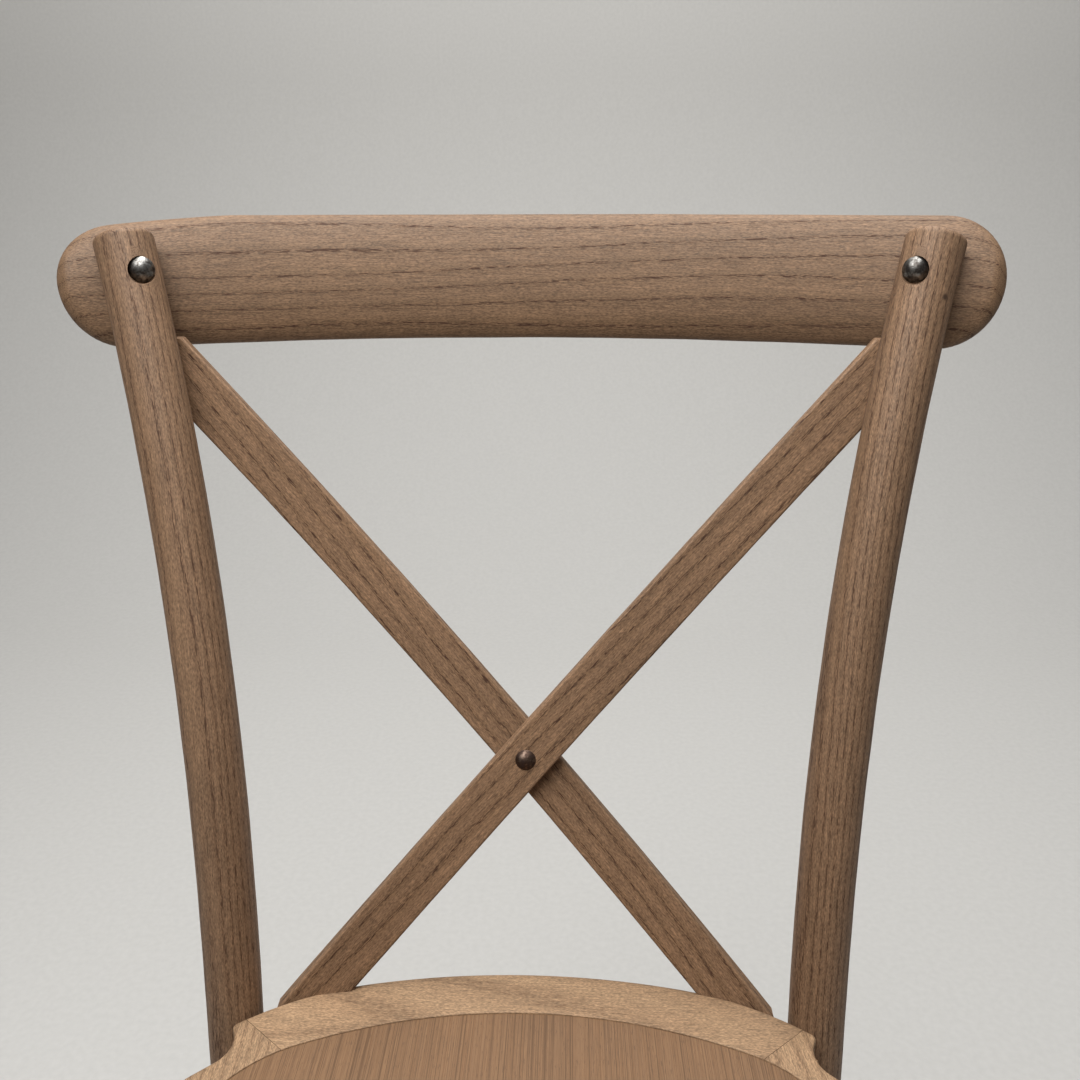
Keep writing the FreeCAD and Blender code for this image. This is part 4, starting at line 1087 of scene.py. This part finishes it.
crest = rivet_solid(head_radius=6.7, head_height=4.0, length=RIVET_SPAN + WASHER_THICKNESS)
bmesh.ops.transform(crest, matrix=axis_frame(rivet_start, rivet_way), verts=crest.verts)
bmesh.ops.mirror(crest, geom=crest.verts[:] + crest.edges[:] + crest.faces[:], axis="X", merge_dist=0.0)
finish_piece("rivets_crest", crest, pewter, "crest_rivets")
cross_span = 2 * (SLAT_THICKNESS - HEAD_SUNK) + SLAT_GAP
cross = rivet_solid(head_radius=6.0, head_height=3.4, length=cross_span + WASHER_THICKNESS)
cross_start = slat_point(CROSS_SHARE, FRONT_BOW) - slat_face * (SLAT_THICKNESS / 2 - HEAD_SUNK)
bmesh.ops.transform(cross, matrix=axis_frame(cross_start, slat_face), verts=cross.verts)
finish_piece("rivet_cross", cross, dark_bronze, "cross_rivet")


# %% [markdown]
# ## Fixings and hidden parts
# Screws and lag bolts are zinc plated steel, cool grey with a fine grit. Glides are black
# moulded nylon, with a dull shine. The dowels are plain beech, pale and finely streaked, and the
# panel's underside shows raw plywood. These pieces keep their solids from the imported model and
# only get a finish.

# %% Materials of the fixings
zinc = antique_metal("Steel, zinc plated", "#b4b6b4", "#a2a4a2", "#8f908d", rough=0.3, worn=1.0)


def plain_surface(name, dark, light, size, rough, bump_depth=0.0, detail=3.0):
    """A moulded, sawn or painted surface with a soft mottle of a size in millimetres."""
    material, tree = new_material(name)
    place = add_node(tree, "TexCoord").outputs["Object"]
    mottle = patterns(tree, place, [("mottle", size, detail)], MM)["mottle"]
    colour = add_node(tree, "ValToRGB", links={"Fac": mottle},
                      ramp=[(0.3, linear(dark)), (0.7, linear(light))])
    links = {"Base Color": colour}
    if bump_depth:
        height = {"Strength": 0.3, "Distance": bump_depth * MM}
        links["Normal"] = add_node(tree, "Bump", height, {"Height": mottle})
    finish_material(tree, {"Roughness": rough}, links)
    return material


nylon = plain_surface("Nylon, moulded, black", "#1b1a19", "#262423", size=(0.5, 0.5, 0.5),
                      rough=0.45, bump_depth=0.03)
beech = plain_surface("Beech, turned dowel", "#b98f66", "#cda67d", size=(0.8, 0.8, 6.0),
                      rough=0.6, bump_depth=0.05)
plywood = plain_surface("Poplar plywood, sanded", "#94744f", "#ab8b63", size=(1.2, 18.0, 0.9),
                        rough=0.7, bump_depth=0.06)

# %% Finish the nodes that stay
node_finish = {"rim_dowels": beech, "seat_panel_core": plywood, "crest_rivet_washers": pewter,
               "cross_rivet_washer": pewter, "foot_glides": nylon}
for name, node in frame["nodes"].items():
    finish = node_finish.get(name)
    if finish is None and slots[name] == "zinc_steel":
        finish = zinc
    if finish is not None:
        node.data.materials.clear()
        node.data.materials.append(finish)
        print(name, "gets", finish.name)


# %% [markdown]
# ## Studio
# A pale floor curves up into a backdrop. It is matte painted plaster, which shows no shine and
# only a faint mottle. A grid of one face is widened, its rear edge is extruded up as the wall,
# and a wide bevel makes the curve between them.

# %% Floor and backdrop
FLOOR_HALF, FLOOR_WIDER, FLOOR_FORWARD, WALL_HEIGHT, WALL_CURVE = 4.0, 2.2, 1.2, 5.0, 1.2
plaster = plain_surface("Painted plaster, matte, studio floor", "#bab8b4", "#bfbdb9",
                        size=(8.3333, 8.3333, 8.3333), rough=0.9, detail=2.0)
floor = bmesh.new()
bmesh.ops.create_grid(floor, x_segments=1, y_segments=1, size=FLOOR_HALF)
bmesh.ops.scale(floor, vec=(FLOOR_WIDER, 1, 1), verts=floor.verts)
back_edge = [edge for edge in floor.edges if all(vert.co.y > 0 for vert in edge.verts)]
raised = pushed_out(floor, back_edge)[0]
bmesh.ops.translate(floor, vec=(0, 0, WALL_HEIGHT), verts=list(raised))
bmesh.ops.translate(floor, vec=(0, -FLOOR_FORWARD, 0), verts=floor.verts)
bmesh.ops.bevel(floor, geom=back_edge, offset=WALL_CURVE, segments=24, profile=0.5,
                affect="EDGES", material=-1)
for face in floor.faces:
    face.smooth = True
studio_floor = add_object("studio_floor", mesh_from("studio_floor", floor))
studio_floor.data.materials.append(plaster)
print("floor and wall have", len(studio_floor.data.polygons), "faces")

# %% [markdown]
# The sky is dim below and bright above, so the shadows under the rail stay deep. It is a ramp
# over the height of the view, and lights what the lamps leave out.

# %% Sky
world = bpy.data.worlds.new("Soft studio sky")
world.use_nodes = True
sky = world.node_tree
sky_way = add_node(sky, "SeparateXYZ", links={0: add_node(sky, "TexCoord").outputs["Generated"]})
sky_height = add_node(sky, "MapRange", {"From Min": -1.0, "From Max": 1.0},
                      {"Value": sky_way.outputs["Z"]})
sky_colour = add_node(sky, "ValToRGB", links={"Fac": sky_height},
                      ramp=[(0.0, linear("#46423d")), (0.55, linear("#67625b")),
                            (0.95, linear("#f2f5f8"))])
background = sky.nodes["Background"]
background.inputs["Strength"].default_value = 0.45
sky.links.new(sky_colour.outputs[0], background.inputs["Color"])
bpy.context.scene.world = world
print("sky strength", round(background.inputs["Strength"].default_value, 2))

# %% [markdown]
# The photo's light comes from close overhead. So a soft lamp hangs low over the front of the
# seat, where its light falls off fast. A second one behind gives the bright line along the
# rail's top, and a third lights the wall.

# %% Lamps
SEAT_AIM, WALL_AIM = Vector((0.0, 0.0, 0.6)), Vector((0.0, 2.8, 1.7))
for name, place, aim, size, power in (("key", (-0.22, -0.35, 1.6), SEAT_AIM, 0.8, 17.0),
                                      ("top", (0.3, 0.6, 2.5), SEAT_AIM, 1.2, 15.0),
                                      ("wall wash", (0.0, 0.9, 3.3), WALL_AIM, 2.0, 78.0)):
    lamp = bpy.data.lights.new(name, "AREA")
    lamp.size = size
    lamp.energy = power
    lamp_object = add_object(name, lamp)
    lamp_object.location = place
    lamp_object.rotation_euler = (aim - Vector(place)).to_track_quat("-Z", "Y").to_euler()
    print(name, "lamp,", power, "W")
bpy.context.scene.view_settings.view_transform = "Standard"

# %% [markdown]
# ## Camera
# The camera stands in front of the seat, a little higher than the crest rail, and looks down on
# the back, with the rail filling the frame from side to side.

# %% Place the camera
camera_data = bpy.data.cameras.new("camera")
camera_data.lens = 34.11
camera_data.sensor_width = 36.0
camera_data.clip_start = 0.01
camera = add_object("camera", camera_data)
camera.location = Vector((22.07, REAR_EDGE - 486.5, 895.94)) * MM
camera.rotation_euler = (math.radians(71.126), math.radians(0.09), math.radians(1.514))
bpy.context.scene.camera = camera
print("camera at", [round(v, 3) for v in camera.location])
